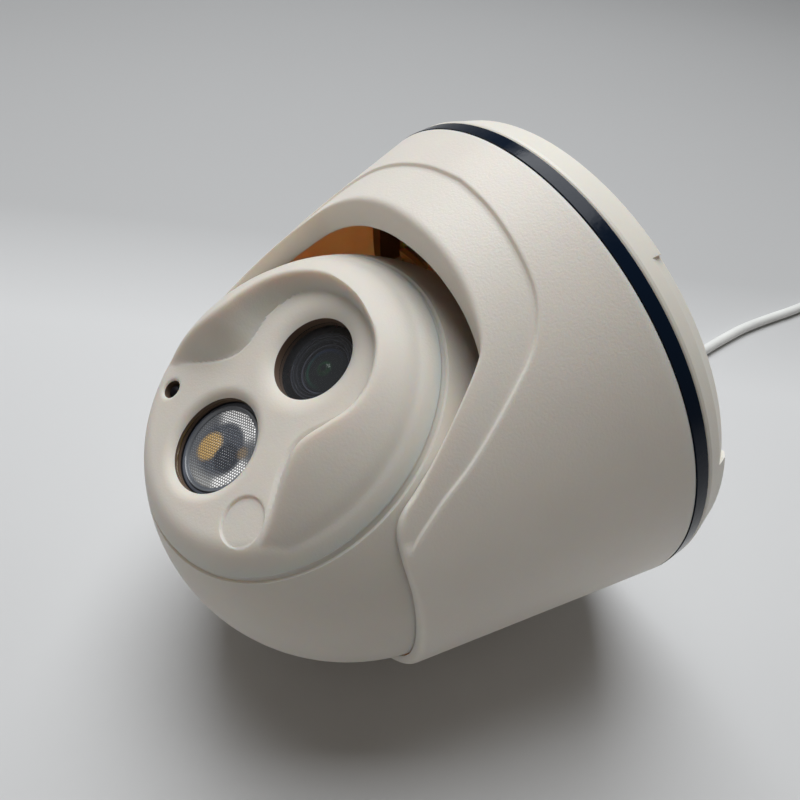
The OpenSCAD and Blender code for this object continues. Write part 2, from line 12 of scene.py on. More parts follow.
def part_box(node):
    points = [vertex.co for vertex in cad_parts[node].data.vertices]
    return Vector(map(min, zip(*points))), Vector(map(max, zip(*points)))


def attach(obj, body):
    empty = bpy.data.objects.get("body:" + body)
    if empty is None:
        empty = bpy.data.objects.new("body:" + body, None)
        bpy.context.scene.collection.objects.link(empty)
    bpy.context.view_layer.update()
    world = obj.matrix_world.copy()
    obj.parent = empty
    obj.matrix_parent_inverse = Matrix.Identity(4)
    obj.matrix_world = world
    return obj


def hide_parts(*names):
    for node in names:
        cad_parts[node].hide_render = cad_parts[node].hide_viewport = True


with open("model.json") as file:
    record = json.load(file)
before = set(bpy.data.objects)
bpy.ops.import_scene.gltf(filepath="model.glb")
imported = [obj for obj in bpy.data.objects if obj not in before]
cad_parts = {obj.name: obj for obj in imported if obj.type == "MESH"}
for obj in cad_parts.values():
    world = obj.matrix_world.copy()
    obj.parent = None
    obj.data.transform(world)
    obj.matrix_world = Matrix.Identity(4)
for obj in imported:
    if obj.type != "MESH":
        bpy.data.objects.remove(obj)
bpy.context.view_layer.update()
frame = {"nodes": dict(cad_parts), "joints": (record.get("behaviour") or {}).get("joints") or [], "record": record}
NODES = frame["nodes"]
SLOT_OF = {entry["node"]: entry["material_slot"] for entry in frame["record"]["subparts"]}

MM = 0.001


# ---------------------------------------------------------------- frames
def joint_named(name):
    return next(j for j in frame["joints"] if j["name"] == name)


def axes_matrix(x_axis, y_axis, z_axis, origin):
    m = Matrix.Identity(4)
    for column, axis in enumerate((x_axis, y_axis, z_axis, origin)):
        for row in range(3):
            m[row][column] = axis[row]
    return m


PAN = joint_named("pan")
TILT = joint_named("tilt")
pan_axis = Vector(PAN["axis"]).normalized()
tilt_axis = Vector(TILT["axis"]).normalized()
pan_origin = Vector(PAN["pos_m"])
ball_centre = Vector(TILT["pos_m"])
TILT_REST = math.radians(66)
FACE_TURN = math.radians(-4)

# Housing frame: millimetres, z along the pan axis from the cover's edge, x to the mouth's side
HOUSING = axes_matrix(tilt_axis.cross(pan_axis), tilt_axis, pan_axis, pan_origin) @ Matrix.Scale(MM, 4)
BALL_Z = (ball_centre - pan_origin).dot(pan_axis) / MM
# Face frame: millimetres, z out of the face, x from the lamp to the lens
BALL = HOUSING @ Matrix.Translation((0, 0, BALL_Z)) @ Matrix.Rotation(TILT_REST, 4, "Y")
FACE = BALL @ Matrix.Rotation(FACE_TURN, 4, "Z")


# ---------------------------------------------------------------- camera
CAMERA_AT = Vector((-67.49, -89.50, 152.51)) * MM
CAMERA_FORWARD = Vector((0.46284, 0.59951, -0.65296)).normalized()
CAMERA_UP = Vector((0.30922, 0.58115, 0.75276)).normalized()


def make_camera():
    data = bpy.data.cameras.new("camera")
    data.lens = 31.5
    data.sensor_width = 36
    data.clip_start = 0.01
    data.clip_end = 20
    camera = bpy.data.objects.new("camera", data)
    right = CAMERA_FORWARD.cross(CAMERA_UP)
    camera.matrix_world = axes_matrix(right, CAMERA_UP, -CAMERA_FORWARD, CAMERA_AT)
    bpy.context.scene.collection.objects.link(camera)
    bpy.context.scene.camera = camera


make_camera()


# ---------------------------------------------------------------- cords
CABLE_D = 3.8
LEAD_D = 3.0
# Coil: its centre, its radii on the table and on top, and the height on top
COIL_AT = Vector((262, -4))
COIL_OUTER = 22.9
COIL_INNER = 19.1
COIL_TOP_R = 21
COIL_TOP_Z = 5.2
COIL_TURNS = 2.25
COIL_STEPS = 24
FLOOR_Z = CABLE_D / 2

GLAND_Z = -16
GLAND_EXIT = HOUSING @ Vector((0, 0, GLAND_Z)) / MM
TAIL_ROUTE = [
    GLAND_EXIT, (54, 0, 58.6), (62, 0.5, 58.6), (71, 1, 56.4), (80, 2, 51.5), (89, 3.5, 44), (98, 5, 35),
    (107, 7, 25.5), (117, 9.5, 16), (128, 12.5, 8), (141, 15.5, 3.4), (155, 17.5, 2), (170, 19, 1.9),
    (186, 20, 1.9), (202, 19.5, 1.9), (217, 18.5, 1.9), (232, 18.2, 1.9), (247, 18.6, 1.9), (254, 18.8, 1.9),
]
SPLITTER_ROUTE = [(283, -9, 5.3), (283, -16, 5.2), (283, -23, 4.6)]
LEAD_ROUTES = {
    "video": [
        (281.2, -37, 4.6), (280, -45, 3), (277, -53, 1.7), (273, -61, 1.6), (270, -69, 2.8),
        (268.5, -77, 5.2),
    ],
    "power": [
        (284.8, -37, 4.6), (286, -45, 3), (289, -53, 1.7), (292, -61, 1.6), (293.5, -68, 2.8),
        (294, -75, 4.8),
    ],
}


def spline_through(points, samples):
    """A smooth curve through the points: a centripetal Catmull-Rom, sampled evenly in each stretch."""
    pts = [Vector(p) for p in points]
    pts = [2 * pts[0] - pts[1]] + pts + [2 * pts[-1] - pts[-2]]
    out = []
    for i in range(1, len(pts) - 2):
        p0, p1, p2, p3 = pts[i - 1:i + 3]
        for k in range(samples):
            t = k / samples
            out.append(0.5 * ((2 * p1) + (p2 - p0) * t + (2 * p0 - 5 * p1 + 4 * p2 - p3) * t * t
                              + (3 * p1 - p0 - 3 * p2 + p3) * t ** 3))
    out.append(pts[-2])
    return out


def smooth_step(t):
    t = min(1.0, max(0.0, t))
    return t * t * (3 - 2 * t)


def coil_points():
    """The coil: it runs wide and then narrow on the table, and climbs onto itself for its last part."""
    points = []
    for k in range(int(COIL_STEPS * COIL_TURNS) + 1):
        turn = k / COIL_STEPS
        angle = math.radians(90) - 2 * math.pi * turn
        inward = smooth_step((turn - 0.75) / 0.3)
        upward = smooth_step((turn - 1.45) / 0.35)
        radius = COIL_OUTER + (COIL_INNER - COIL_OUTER) * inward + (COIL_TOP_R - COIL_INNER) * upward
        height = FLOOR_Z + (COIL_TOP_Z - FLOOR_Z) * upward
        x = COIL_AT.x + radius * math.cos(angle)
        y = COIL_AT.y + radius * math.sin(angle)
        points.append(Vector((x, y, height)))
    return points


def tube_along(name, points, radius, sides=20):
    """A round tube mesh along points in millimetres of the part's frame, with closed ends."""
    pts = [Vector(p) for p in points]
    verts, faces = [], []
    tangent = (pts[1] - pts[0]).normalized()
    side = tangent.orthogonal().normalized()
    for i, p in enumerate(pts):
        ahead = pts[min(i + 1, len(pts) - 1)] - pts[max(i - 1, 0)]
        new_tangent = ahead.normalized()
        side = (side - new_tangent * side.dot(new_tangent)).normalized()
        other = new_tangent.cross(side)
        for k in range(sides):
            a = 2 * math.pi * k / sides
            verts.append(p + radius * (math.cos(a) * side + math.sin(a) * other))
    for i in range(len(pts) - 1):
        for k in range(sides):
            a, b = i * sides + k, i * sides + (k + 1) % sides
            faces.append((a, b, b + sides, a + sides))
    faces.append(tuple(range(sides))[::-1])
    faces.append(tuple(range((len(pts) - 1) * sides, len(pts) * sides)))
    return mesh_object(name, verts, faces, Matrix.Scale(MM, 4))


def mesh_object(name, verts, faces, matrix):
    mesh = bpy.data.meshes.new(name)
    mesh.from_pydata([matrix @ Vector(v) for v in verts], [], faces)
    mesh.update()
    for polygon in mesh.polygons:
        polygon.use_smooth = True
    obj = bpy.data.objects.new(name, mesh)
    bpy.context.scene.collection.objects.link(obj)
    return obj


def make_tail_cable():
    """The tail cable in one piece, from the grommet through its coil to the splitter."""
    tail = spline_through(TAIL_ROUTE, 4)
    coil = coil_points()
    joining = spline_through([tail[-2], tail[-1], coil[0], coil[1]], 4)[5:8]
    up = spline_through([coil[-2], coil[-1], *SPLITTER_ROUTE], 4)[5:]
    main_path = tail + joining + coil + up
    main = tube_along("tail_cable_whole", main_path, CABLE_D / 2)
    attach(main, "base")
    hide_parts("tail_cable", "cable_coil", "coil_end")
    paint(main, "cable_jacket")


def make_leads():
    """The short leads from the splitter to their sockets."""
    for name, route in LEAD_ROUTES.items():
        path = spline_through(route, 4)
        lead = tube_along(name + "_lead", path, LEAD_D / 2, sides=16)
        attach(lead, "base")
        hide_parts(name + "_tail")
        paint(lead, "wire_black")


# ---------------------------------------------------------------- materials
def new_material(name):
    material = bpy.data.materials.new(name)
    material.use_nodes = True
    nodes = material.node_tree.nodes
    return material, nodes, material.node_tree.links, nodes["Principled BSDF"]


def plain(name, colour, rough=0.45, metal=0.0, spread=0.06, scale=900, bump=0.02, coat=0.0, spec=0.5):
    """A moulded or rolled surface: its colour drifts a little and its gloss is broken by a fine grain."""
    material, nodes, links, shader = new_material(name)
    place = nodes.new("ShaderNodeTexCoord")
    drift = nodes.new("ShaderNodeTexNoise")
    drift.inputs["Scale"].default_value = 60
    drift.inputs["Detail"].default_value = 4
    links.new(place.outputs["Object"], drift.inputs["Vector"])
    ramp = nodes.new("ShaderNodeValToRGB")
    ramp.color_ramp.elements[0].position = 0.3
    ramp.color_ramp.elements[1].position = 0.7
    ramp.color_ramp.elements[0].color = [c * (1 - spread) for c in colour] + [1]
    ramp.color_ramp.elements[1].color = [min(1, c * (1 + spread)) for c in colour] + [1]
    links.new(drift.outputs["Fac"], ramp.inputs["Fac"])
    links.new(ramp.outputs["Color"], shader.inputs["Base Color"])
    grain = nodes.new("ShaderNodeTexNoise")
    grain.inputs["Scale"].default_value = scale
    grain.inputs["Detail"].default_value = 3
    links.new(place.outputs["Object"], grain.inputs["Vector"])
    spread_rough = nodes.new("ShaderNodeMapRange")
    spread_rough.inputs["To Min"].default_value = max(0.02, rough - 0.06)
    spread_rough.inputs["To Max"].default_value = min(1.0, rough + 0.06)
    links.new(grain.outputs["Fac"], spread_rough.inputs["Value"])
    links.new(spread_rough.outputs["Result"], shader.inputs["Roughness"])
    bumps = nodes.new("ShaderNodeBump")
    bumps.inputs["Strength"].default_value = bump * 10
    bumps.inputs["Distance"].default_value = 0.0001
    links.new(grain.outputs["Fac"], bumps.inputs["Height"])
    links.new(bumps.outputs["Normal"], shader.inputs["Normal"])
    shader.inputs["Metallic"].default_value = metal
    shader.inputs["Coat Weight"].default_value = coat
    shader.inputs["Specular IOR Level"].default_value = spec
    return material


def translucent(material, weight, radius_mm, depth_mm):
    """Lets light sink into a moulded shell and come out warmer."""
    shader = material.node_tree.nodes["Principled BSDF"]
    shader.inputs["Subsurface Weight"].default_value = weight
    shader.inputs["Subsurface Radius"].default_value = radius_mm
    shader.inputs["Subsurface Scale"].default_value = depth_mm * MM
    return material


def window_with_painted_reflection(name, colour, painted_reflection_share):
    """A thin clear window with a faint slate layer over it, a painted reflection of its grey surroundings, and a
    gloss of its own.
    """
    material = plain(name, colour, rough=0.06, spread=0.1, bump=0.002, spec=1.0, coat=1.0)
    shader = material.node_tree.nodes["Principled BSDF"]
    shader.inputs["Alpha"].default_value = painted_reflection_share
    shader.inputs["Coat Roughness"].default_value = 0.03
    return material


def tinted(name, rough, spec=0.5, coat=0.0, glowing_highlights=False):
    """A surface whose colour lies on its mesh; with glowing_highlights, its whitest points glow a little, as
    painted highlights.
    """
    material, nodes, links, shader = new_material(name)
    colour = nodes.new("ShaderNodeAttribute")
    colour.attribute_name = "tint"
    links.new(colour.outputs["Color"], shader.inputs["Base Color"])
    # Painted highlights: the whitest points give off light
    if glowing_highlights:
        glow = nodes.new("ShaderNodeMapRange")
        glow.inputs["From Min"].default_value = 0.55
        glow.inputs["From Max"].default_value = 1.0
        glow.inputs["To Max"].default_value = 0.6
        links.new(colour.outputs["Fac"], glow.inputs["Value"])
        links.new(glow.outputs["Result"], shader.inputs["Emission Strength"])
    grain = nodes.new("ShaderNodeTexNoise")
    grain.inputs["Scale"].default_value = 1500
    spread_rough = nodes.new("ShaderNodeMapRange")
    spread_rough.inputs["To Min"].default_value = max(0.02, rough - 0.03)
    spread_rough.inputs["To Max"].default_value = rough + 0.03
    links.new(grain.outputs["Fac"], spread_rough.inputs["Value"])
    links.new(spread_rough.outputs["Result"], shader.inputs["Roughness"])
    shader.inputs["Specular IOR Level"].default_value = spec
    shader.inputs["Coat Weight"].default_value = coat
    shader.inputs["Coat Roughness"].default_value = 0.03
    return material


MATERIALS = {
    "base_plastic": translucent(
        plain("base_plastic", (0.86, 0.82, 0.74), rough=0.42, scale=2500, spread=0.02),
        0.3, (1, 0.7, 0.45), 2.5),
    "cover_plastic": translucent(
        plain("cover_plastic", (0.85, 0.795, 0.725), rough=0.42, scale=2200, spread=0.02, bump=0.05,
              spec=0.35),
        0.4, (1, 0.6, 0.35), 2.5),
    "ball_plastic": translucent(
        plain("ball_plastic", (0.73, 0.68, 0.615), rough=0.45, scale=2200, spread=0.02, bump=0.04, spec=0.25),
        0.6, (1, 0.55, 0.3), 4),
    "trim_plastic": plain("trim_plastic", (0.003, 0.009, 0.022), rough=0.16, spread=0.03, spec=0.12),
    # Painted glow: lighter and more orange than the cover's plastic, for light through its wall, on top of real
    # translucency
    "cover_inside": translucent(plain("cover_inside", (0.90, 0.68, 0.58), rough=0.5), 1.0, (1, 0.6, 0.45), 7),
    # Painted glow: the orange of light coming through the cover's wall, for the skirt
    "inner_plastic": plain("inner_plastic", (0.85, 0.50, 0.24), rough=0.45),
    "felt": plain("felt", (0.08, 0.08, 0.085), rough=0.9),
    "plated_steel": plain("plated_steel", (0.72, 0.69, 0.64), rough=0.5, metal=1.0),
    "screw_steel": plain("screw_steel", (0.52, 0.52, 0.51), rough=0.28, metal=1.0),
    "soft_grey": plain("soft_grey", (0.30, 0.31, 0.32), rough=0.6),
    "soft_black": plain("soft_black", (0.02, 0.02, 0.02), rough=0.7),
    "black_plastic": plain("black_plastic", (0.012, 0.012, 0.014), rough=0.4),
    # Clear window: its faint slate layer is painted reflection
    "clear_glass": window_with_painted_reflection("clear_glass", (0.085, 0.09, 0.10), 0.17),
    "sensor_chip": plain("sensor_chip", (0.02, 0.03, 0.03), rough=0.15),
    "board_green": plain("board_green", (0.01, 0.10, 0.04), rough=0.35),
    "board_white": plain("board_white", (0.70, 0.70, 0.68), rough=0.3),
    "phosphor": plain("phosphor", (0.80, 0.50, 0.08), rough=0.5),
    "heat_aluminium": plain("heat_aluminium", (0.60, 0.61, 0.62), rough=0.4, metal=1.0),
    "sensor_dome": plain("sensor_dome", (0.006, 0.005, 0.008), rough=0.5, spec=0.1),
    # Painted shade: dark brown for the walls of the face's holes
    "hole_wall_shade": plain("hole_wall_shade", (0.15, 0.10, 0.07), rough=0.6),
    "glue": plain("glue", (0.13, 0.085, 0.03), rough=0.25, spread=0.4, scale=2000, bump=0.05),
    "lamp_rim": plain("lamp_rim", (0.16, 0.18, 0.225), rough=0.3, spread=0.4, scale=1800),
    "lamp_frost": plain(
        "lamp_frost", (0.17, 0.185, 0.21), rough=0.35, spread=0.5, scale=1800, bump=0.03, coat=0.4),
    "wire_black": plain("wire_black", (0.02, 0.02, 0.02), rough=0.5),
    "cable_jacket": plain("cable_jacket", (0.80, 0.81, 0.79), rough=0.5),
    "nickel": plain("nickel", (0.66, 0.64, 0.60), rough=0.22, metal=1.0),
    "coated_glass": tinted("coated_glass", 0.07, spec=0.3),
    # Barrel black with painted highlights on its crests
    "black_with_painted_highlights": tinted("black_with_painted_highlights", 0.25, spec=0.4),
    # Its whitest points glow: painted highlights on the pebbled lens
    "clear_optic": tinted("clear_optic", 0.12, spec=0.6, coat=1.0, glowing_highlights=True),
}


def paint(obj, *names):
    obj.data.materials.clear()
    for name in names:
        obj.data.materials.append(MATERIALS[name])


for node_name, node in NODES.items():
    paint(node, SLOT_OF[node_name])
paint(NODES["ball_rear_shell"], "ball_plastic")
make_tail_cable()
make_leads()


# ---------------------------------------------------------------- cover
RIM_R = (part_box("trim_ring")[1].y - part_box("trim_ring")[0].y) / 2 / MM
CONE_SLOPE = math.tan(math.asin(-pan_axis.z))
COVER_START = 0.1
COVER_WALL = 2.2
FRONT_Z = 52.5
FRONT_SLOPE = 0.1
BAND_DEPTH = 0.5
BAND_EDGE = 0.22
# Lip behind the free edge: its thickness, the rounding of its end, and how far past it the inside begins
LIP_THICK = 1.7
LIP_ROUND = 0.35
LIP_BACK = 0.8
CHAMFER = 0.45
WALL_ROWS = 28
COVER_COLUMNS = 480
# Radius at which lengths round the cover are measured, and radius that sets the slope of its front edge
MEAN_R = 46
FRONT_R = 43
CORNER_BLEND = 0.4
# Angles from the cover's top at which its mouth, its top and its sides begin to fade, and over what angle
MOUTH_FADE = (math.radians(36), math.radians(22))
TOP_FADE = (math.radians(16), math.radians(20))
SIDE_START = (math.radians(62), 0.3)
# Rounding of the free edge and depth of the lip behind it: everywhere, and what the fades add
ROUND_R, ROUND_TOP, ROUND_SIDE = 0.75, 0.75, 0.35
LIP_DEPTH, LIP_MOUTH = 2.3, 3.8
# Skirt inside the trim ring: its radii, its ends, and the flange that joins it to the cover's wall
SKIRT_IN, SKIRT_OUT = 49.0, 50.1
SKIRT_LOW, FLANGE_LOW, FLANGE_TOP = -4.3, 1.25, 2.0
FLANGE_OUT, FLANGE_OUT_TOP = 52.6, 52.5
BALL_R = 42.2
BALL_GAP = 0.3
# Half of the mouth's edge and half of the recessed band's edge: (across, height) on the cover's side
MOUTH_EDGE = [
    (0, 20.8), (8, 21.0), (16, 21.9), (22, 23.4), (25.6, 25.1), (27.7, 27.8), (30.6, 34.0), (32.8, 39.5),
    (34.5, 44.5), (35.2, 47.4), (36.4, 49.5), (38.6, 50.7), (41.2, 51.2),
]
BAND_LINE = [
    (0, 9.5), (10, 10.3), (20, 12.1), (25.4, 13.9), (29, 16.7), (31.2, 19.8), (33, 24.4), (34.9, 30.5),
    (36.2, 36), (37, 42), (37.7, 46.5), (38.6, 50.2),
]


def cone_r(z):
    return RIM_R - z * CONE_SLOPE


def unrolled(points):
    """Points (across, height) as (angle round the pan axis, height), along a smooth curve."""
    curve = spline_through([(y, z, 0) for y, z in points], 12)
    return np.array([(math.asin(min(1, p.x / cone_r(p.y))), p.y) for p in curve])


def arc_lengths(curve, radius):
    steps = np.hypot(np.diff(curve[:, 0]) * radius, np.diff(curve[:, 1]))
    return np.concatenate([[0], np.cumsum(steps)])


def at_lengths(curve, lengths, wanted):
    return np.stack([np.interp(wanted, lengths, curve[:, 0]), np.interp(wanted, lengths, curve[:, 1])], 1)


def ease(t):
    t = np.clip(t, 0, 1)
    return t * t * (3 - 2 * t)


def cone_points(angle, z, inset=0.0):
    r = cone_r(z) - inset
    return np.stack([r * np.cos(angle), r * np.sin(angle), z], -1)


def unit(v):
    return v / np.linalg.norm(v, axis=-1, keepdims=True)


def cover_rim():
    """The cover's free edge, once round, as angle and height, and half its length."""
    mouth = unrolled(MOUTH_EDGE)
    corner_angle = mouth[-1, 0]
    angles = np.linspace(corner_angle, math.pi, 120)[1:]
    heights = FRONT_Z - FRONT_SLOPE * FRONT_R * np.cos(angles)
    heights += (mouth[-1, 1] - heights[0]) * ease(1 - (angles - corner_angle) / CORNER_BLEND)
    half = np.vstack([mouth, np.stack([angles, heights], 1)])
    lengths = arc_lengths(half, MEAN_R)
    half = at_lengths(half, lengths, np.linspace(0, lengths[-1], COVER_COLUMNS // 2 + 1))
    other = half[1:-1][::-1] * (-1, 1)
    return np.vstack([half, other]), lengths[-1]


def band_points(rim, half_length):
    """Where the band's edge crosses each column that starts at the rim; 1 where there is a band, else 0."""
    band = unrolled(BAND_LINE)
    band_lengths = arc_lengths(band, MEAN_R)
    mouth = unrolled(MOUTH_EDGE[:-1])
    mouth_length = arc_lengths(mouth, MEAN_R)[-1]
    step = half_length / (COVER_COLUMNS // 2)
    out = []
    for j, (angle, z) in enumerate(rim):
        side = -1 if j > COVER_COLUMNS // 2 else 1
        along = min(j, COVER_COLUMNS - j) * step / mouth_length
        if along > 1:
            out.append((angle, z, 0))
            continue
        point = at_lengths(band, band_lengths, np.array([along * band_lengths[-1]]))[0]
        out.append((side * point[0], point[1], 1))
    return np.array(out)


def clear_of_ball(points):
    """Points of the cover, moved outward where they come closer to the ball than its running gap."""
    centre = np.array(HOUSING.inverted() @ BALL.translation)
    away = points - centre
    reach = np.linalg.norm(away, axis=1, keepdims=True)
    return centre + away * np.maximum(reach, BALL_R + BALL_GAP) / reach


def into_wall_from(rim):
    """The direction away from the rim into the cover's wall at each of its points, on the unrolled cone."""
    ahead = np.roll(rim, -1, 0) - np.roll(rim, 1, 0)
    ahead[:, 0] = (ahead[:, 0] + math.pi) % (2 * math.pi) - math.pi
    along = unit(np.stack([ahead[:, 0] * cone_r(rim[:, 1]), ahead[:, 1]], 1))
    return np.stack([along[:, 1], -along[:, 0]], 1)


def run_to_band(rim, half_length, into_wall, round_r):
    """Which way each column runs from the rim, how far the band's edge is, and how deep the band lies."""
    angle, z = rim[:, 0], rim[:, 1]
    band = band_points(rim, half_length)
    to_band = np.stack([(band[:, 0] - angle) * cone_r(z), band[:, 1] - z], 1)
    band_gap = np.hypot(to_band[:, 0], to_band[:, 1]) * band[:, 2]
    trust = ease((band_gap - 1.5) / 4)[:, None]
    run = unit(trust * to_band / np.maximum(band_gap, 1e-6)[:, None] + (1 - trust) * into_wall)
    band_at = np.maximum(band_gap, round_r + BAND_EDGE + 0.4)
    return run, band_at, BAND_DEPTH * ease((band_gap - 0.8) / 1.6)


def wall_rows(rim, run, band_at, recess, round_r):
    """Rows of the cover's outside, from its foot up to where its rim is rounded, and the foot's angles."""
    angle, z = rim[:, 0], rim[:, 1]

    def at_distance(distance):
        return angle + run[:, 0] * distance / cone_r(z), z + run[:, 1] * distance

    def outer(distance, inset):
        return cone_points(*at_distance(distance), inset / math.cos(math.atan(CONE_SLOPE)))

    foot_a, step_z = at_distance(band_at + BAND_EDGE)
    low_z = COVER_START + CHAMFER
    rows = []
    for k in range(WALL_ROWS):
        rows.append(cone_points(foot_a, low_z + (step_z - low_z) * (k / WALL_ROWS)))
    for t in (0, 0.25, 0.5, 0.75, 1):
        rows.append(outer(band_at + BAND_EDGE * (1 - 2 * t), recess * ease(t)))
    flat_end = band_at - BAND_EDGE
    for t in np.linspace(0, 1, 12)[1:]:
        rows.append(outer(flat_end + (round_r - flat_end) * t, recess))
    return rows, foot_a


def bend(start, corner, end, t):
    """A point on the curve that leaves start towards the corner and comes from it to the end."""
    return (1 - t) ** 2 * start + 2 * t * (1 - t) * corner + t * t * end


def lip_rows(rim, start, into_wall, recess, round_r, in_mouth):
    """Rows of the rounded rim, of the lip that turns inward from it, and of the lip's back."""
    angle, z = rim[:, 0], rim[:, 1]
    corner = cone_points(angle, z, recess)
    tangent = np.stack([-np.sin(angle), np.cos(angle), 0 * z], 1)
    up_cone = unit(np.stack([-CONE_SLOPE * np.cos(angle), -CONE_SLOPE * np.sin(angle), 1 + 0 * z], 1))
    inward_wall = tangent * into_wall[:, :1] + up_cone * into_wall[:, 1:]
    radial = np.stack([-np.cos(angle), -np.sin(angle), 0 * z], 1)
    level = np.tile([-1.0, 0, 0], (len(z), 1))
    lip_way = unit(level * in_mouth[:, None] + radial * (1 - in_mouth[:, None]))
    turn_end = corner + lip_way * round_r[:, None]
    lip_end = corner + lip_way * (LIP_DEPTH + LIP_MOUTH * in_mouth)[:, None]
    soft_end = lip_end + inward_wall * LIP_ROUND
    rows = [bend(start, corner, turn_end, t) for t in np.linspace(0, 1, 9)[1:]]
    rows += [turn_end + (lip_end - turn_end) * t for t in (0.2, 0.4, 0.6, 0.8, 0.93)]
    lip_start = rows[-1]
    rows += [bend(lip_start, lip_end, soft_end, t) for t in (0.34, 0.67, 1)]
    rows.append(lip_end + inward_wall * LIP_THICK)
    return rows


def make_cover():
    """The conical cover: its wall, the recessed band, and the rim with the lip that turns inward."""
    rim, half_length = cover_rim()
    sideness = np.abs(rim[:, 0])
    in_mouth = 1 - ease((sideness - MOUTH_FADE[0]) / MOUTH_FADE[1])
    at_top = 1 - ease((sideness - TOP_FADE[0]) / TOP_FADE[1])
    at_side = ease((sideness - SIDE_START[0]) / SIDE_START[1])
    round_r = ROUND_R + ROUND_TOP * at_top + ROUND_SIDE * at_side
    into_wall = into_wall_from(rim)
    run, band_at, recess = run_to_band(rim, half_length, into_wall, round_r)
    rows, foot_a = wall_rows(rim, run, band_at, recess, round_r)
    rows += lip_rows(rim, rows[-1], into_wall, recess, round_r, in_mouth)

    inner_rows = len(rows)
    inner_inset = COVER_WALL / math.cos(math.atan(CONE_SLOPE))
    back_a = rim[:, 0] + into_wall[:, 0] * (LIP_THICK + LIP_BACK) / cone_r(rim[:, 1])
    back_z = rim[:, 1] + into_wall[:, 1] * (LIP_THICK + LIP_BACK)
    for t in np.linspace(0, 1, 9):
        a = back_a + (foot_a - back_a) * ease(t)
        rows.append(cone_points(a, back_z + (COVER_START - back_z) * t, inner_inset))
    rows.append(cone_points(foot_a, 0 * foot_a + COVER_START, CHAMFER))
    rows.append(cone_points(foot_a, 0 * foot_a + COVER_START + 0.13, 0.13))

    obj = closed_rows("cover_shell", [clear_of_ball(row) for row in rows], HOUSING)
    paint(obj, "cover_plastic", "cover_inside")
    # The inside rows get cover_inside, whose orange is painted glow of light through the wall
    for index, polygon in enumerate(obj.data.polygons):
        row = index // COVER_COLUMNS
        if inner_rows - 2 <= row < len(rows) - 2:
            polygon.material_index = 1
    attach(obj, "turning_cover")
    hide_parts("cover")


def closed_rows(name, rows, matrix):
    """A solid of rows of points that close on themselves both ways, as one smooth mesh."""
    count = len(rows[0])
    verts = np.concatenate(rows)
    faces = []
    for i in range(len(rows)):
        low, high = i * count, (i + 1) % len(rows) * count
        for k in range(count):
            n = (k + 1) % count
            faces.append((low + k, low + n, high + n, high + k))
    return mesh_object(name, verts, faces, matrix)


def make_skirt():
    """The skirt inside the cover that hides the trim ring from the mouth; its orange is painted glow of light
    through the cover's wall.
    """
    profile = [(SKIRT_IN, FLANGE_TOP), (FLANGE_OUT_TOP, FLANGE_TOP), (FLANGE_OUT, FLANGE_LOW),
               (SKIRT_OUT, FLANGE_LOW), (SKIRT_OUT, SKIRT_LOW), (SKIRT_IN, SKIRT_LOW)]
    verts, faces = lathe(profile, 180)
    obj = mesh_object("cover_skirt", verts, faces, HOUSING)
    # Painted glow on the skirt
    paint(obj, "inner_plastic")
    split_at_edges(obj, 40)
    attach(obj, "turning_cover")


# ---------------------------------------------------------------- face of the ball
# In the face frame: the seam, the flat, its holes, and how the surfaces between them drop and roll
SEAM_Z = 27.3
SEAM_R = math.sqrt(BALL_R ** 2 - SEAM_Z ** 2)
FACE_Z = 31.3
FACE_THICK = 2.6
LENS_AT = (10.1, 0.0)
LENS_HOLE_R = 8.3
LAMP_AT = (-13.8, 0.0)
LAMP_HOLE_R = 9.4
SENSOR_AT = (-16.2, 18.3)
SENSOR_HOLE_R = 1.9
BLANK_AT = (-15.3, -18.3)
BLANK_R = 4.4
HOLE_DROP = 1.2
FOOT_DROP = 1.0
SCOOP_CURVE = 1.55
FLAT_ROLL = 1.3
RIDGE_ROLL = 1.7
# Half of the ridge where the face's recess leaves the ball, and half of the flat's edge: (x, |y|)
RIDGE = [
    (23.5, 0), (23.1, 4.1), (21.8, 9.4), (19.1, 13.8), (15.4, 17.2), (11.2, 18.8), (6.8, 18.9), (2.7, 18.7),
    (-0.4, 19.4), (-3.9, 21.0), (-7.2, 22.5), (-10.4, 23.6), (-14.6, 24.4),
]
FLAT_EDGE = [
    (22.3, 0), (21.6, 5.3), (18.6, 10.5), (13.9, 13.9), (8.8, 14.9), (5, 13.7), (1.8, 12.6), (-1.7, 12.8),
    (-5.6, 15.0), (-9.2, 18.4), (-12.2, 21.5), (-14.6, 24.4),
]
# Where both outlines run on past the face's edge
BEYOND = [(-15.6, 26.5), (-17.5, 31), (-22, 40), (-50, 60)]
# Where the flat begins to roll down towards each hole, and how far the sensor's rolls
LENS_ROLL_R, LAMP_ROLL_R, SENSOR_ROLL_R = 12.4, 11.8, 2.5
SENSOR_DROP = 0.4
BLANK_DEPTH, BLANK_EDGE = 0.45, 0.15
# Grid of the face's mesh: spacing of its points, and of its rows as a share of that
FACE_PITCH = 0.5
ROW_RATIO = 0.866


def outline_of(half):
    """The closed outline that a half outline and its mirror image make, as evenly small steps."""
    curve = [(p.x, p.y) for p in spline_through([(x, y, 0) for x, y in half], 8)]
    curve += [Vector(p) for p in BEYOND]
    upper = np.array([tuple(p)[:2] for p in curve])
    lower = upper[1:][::-1] * (1, -1)
    return np.vstack([lower, upper])


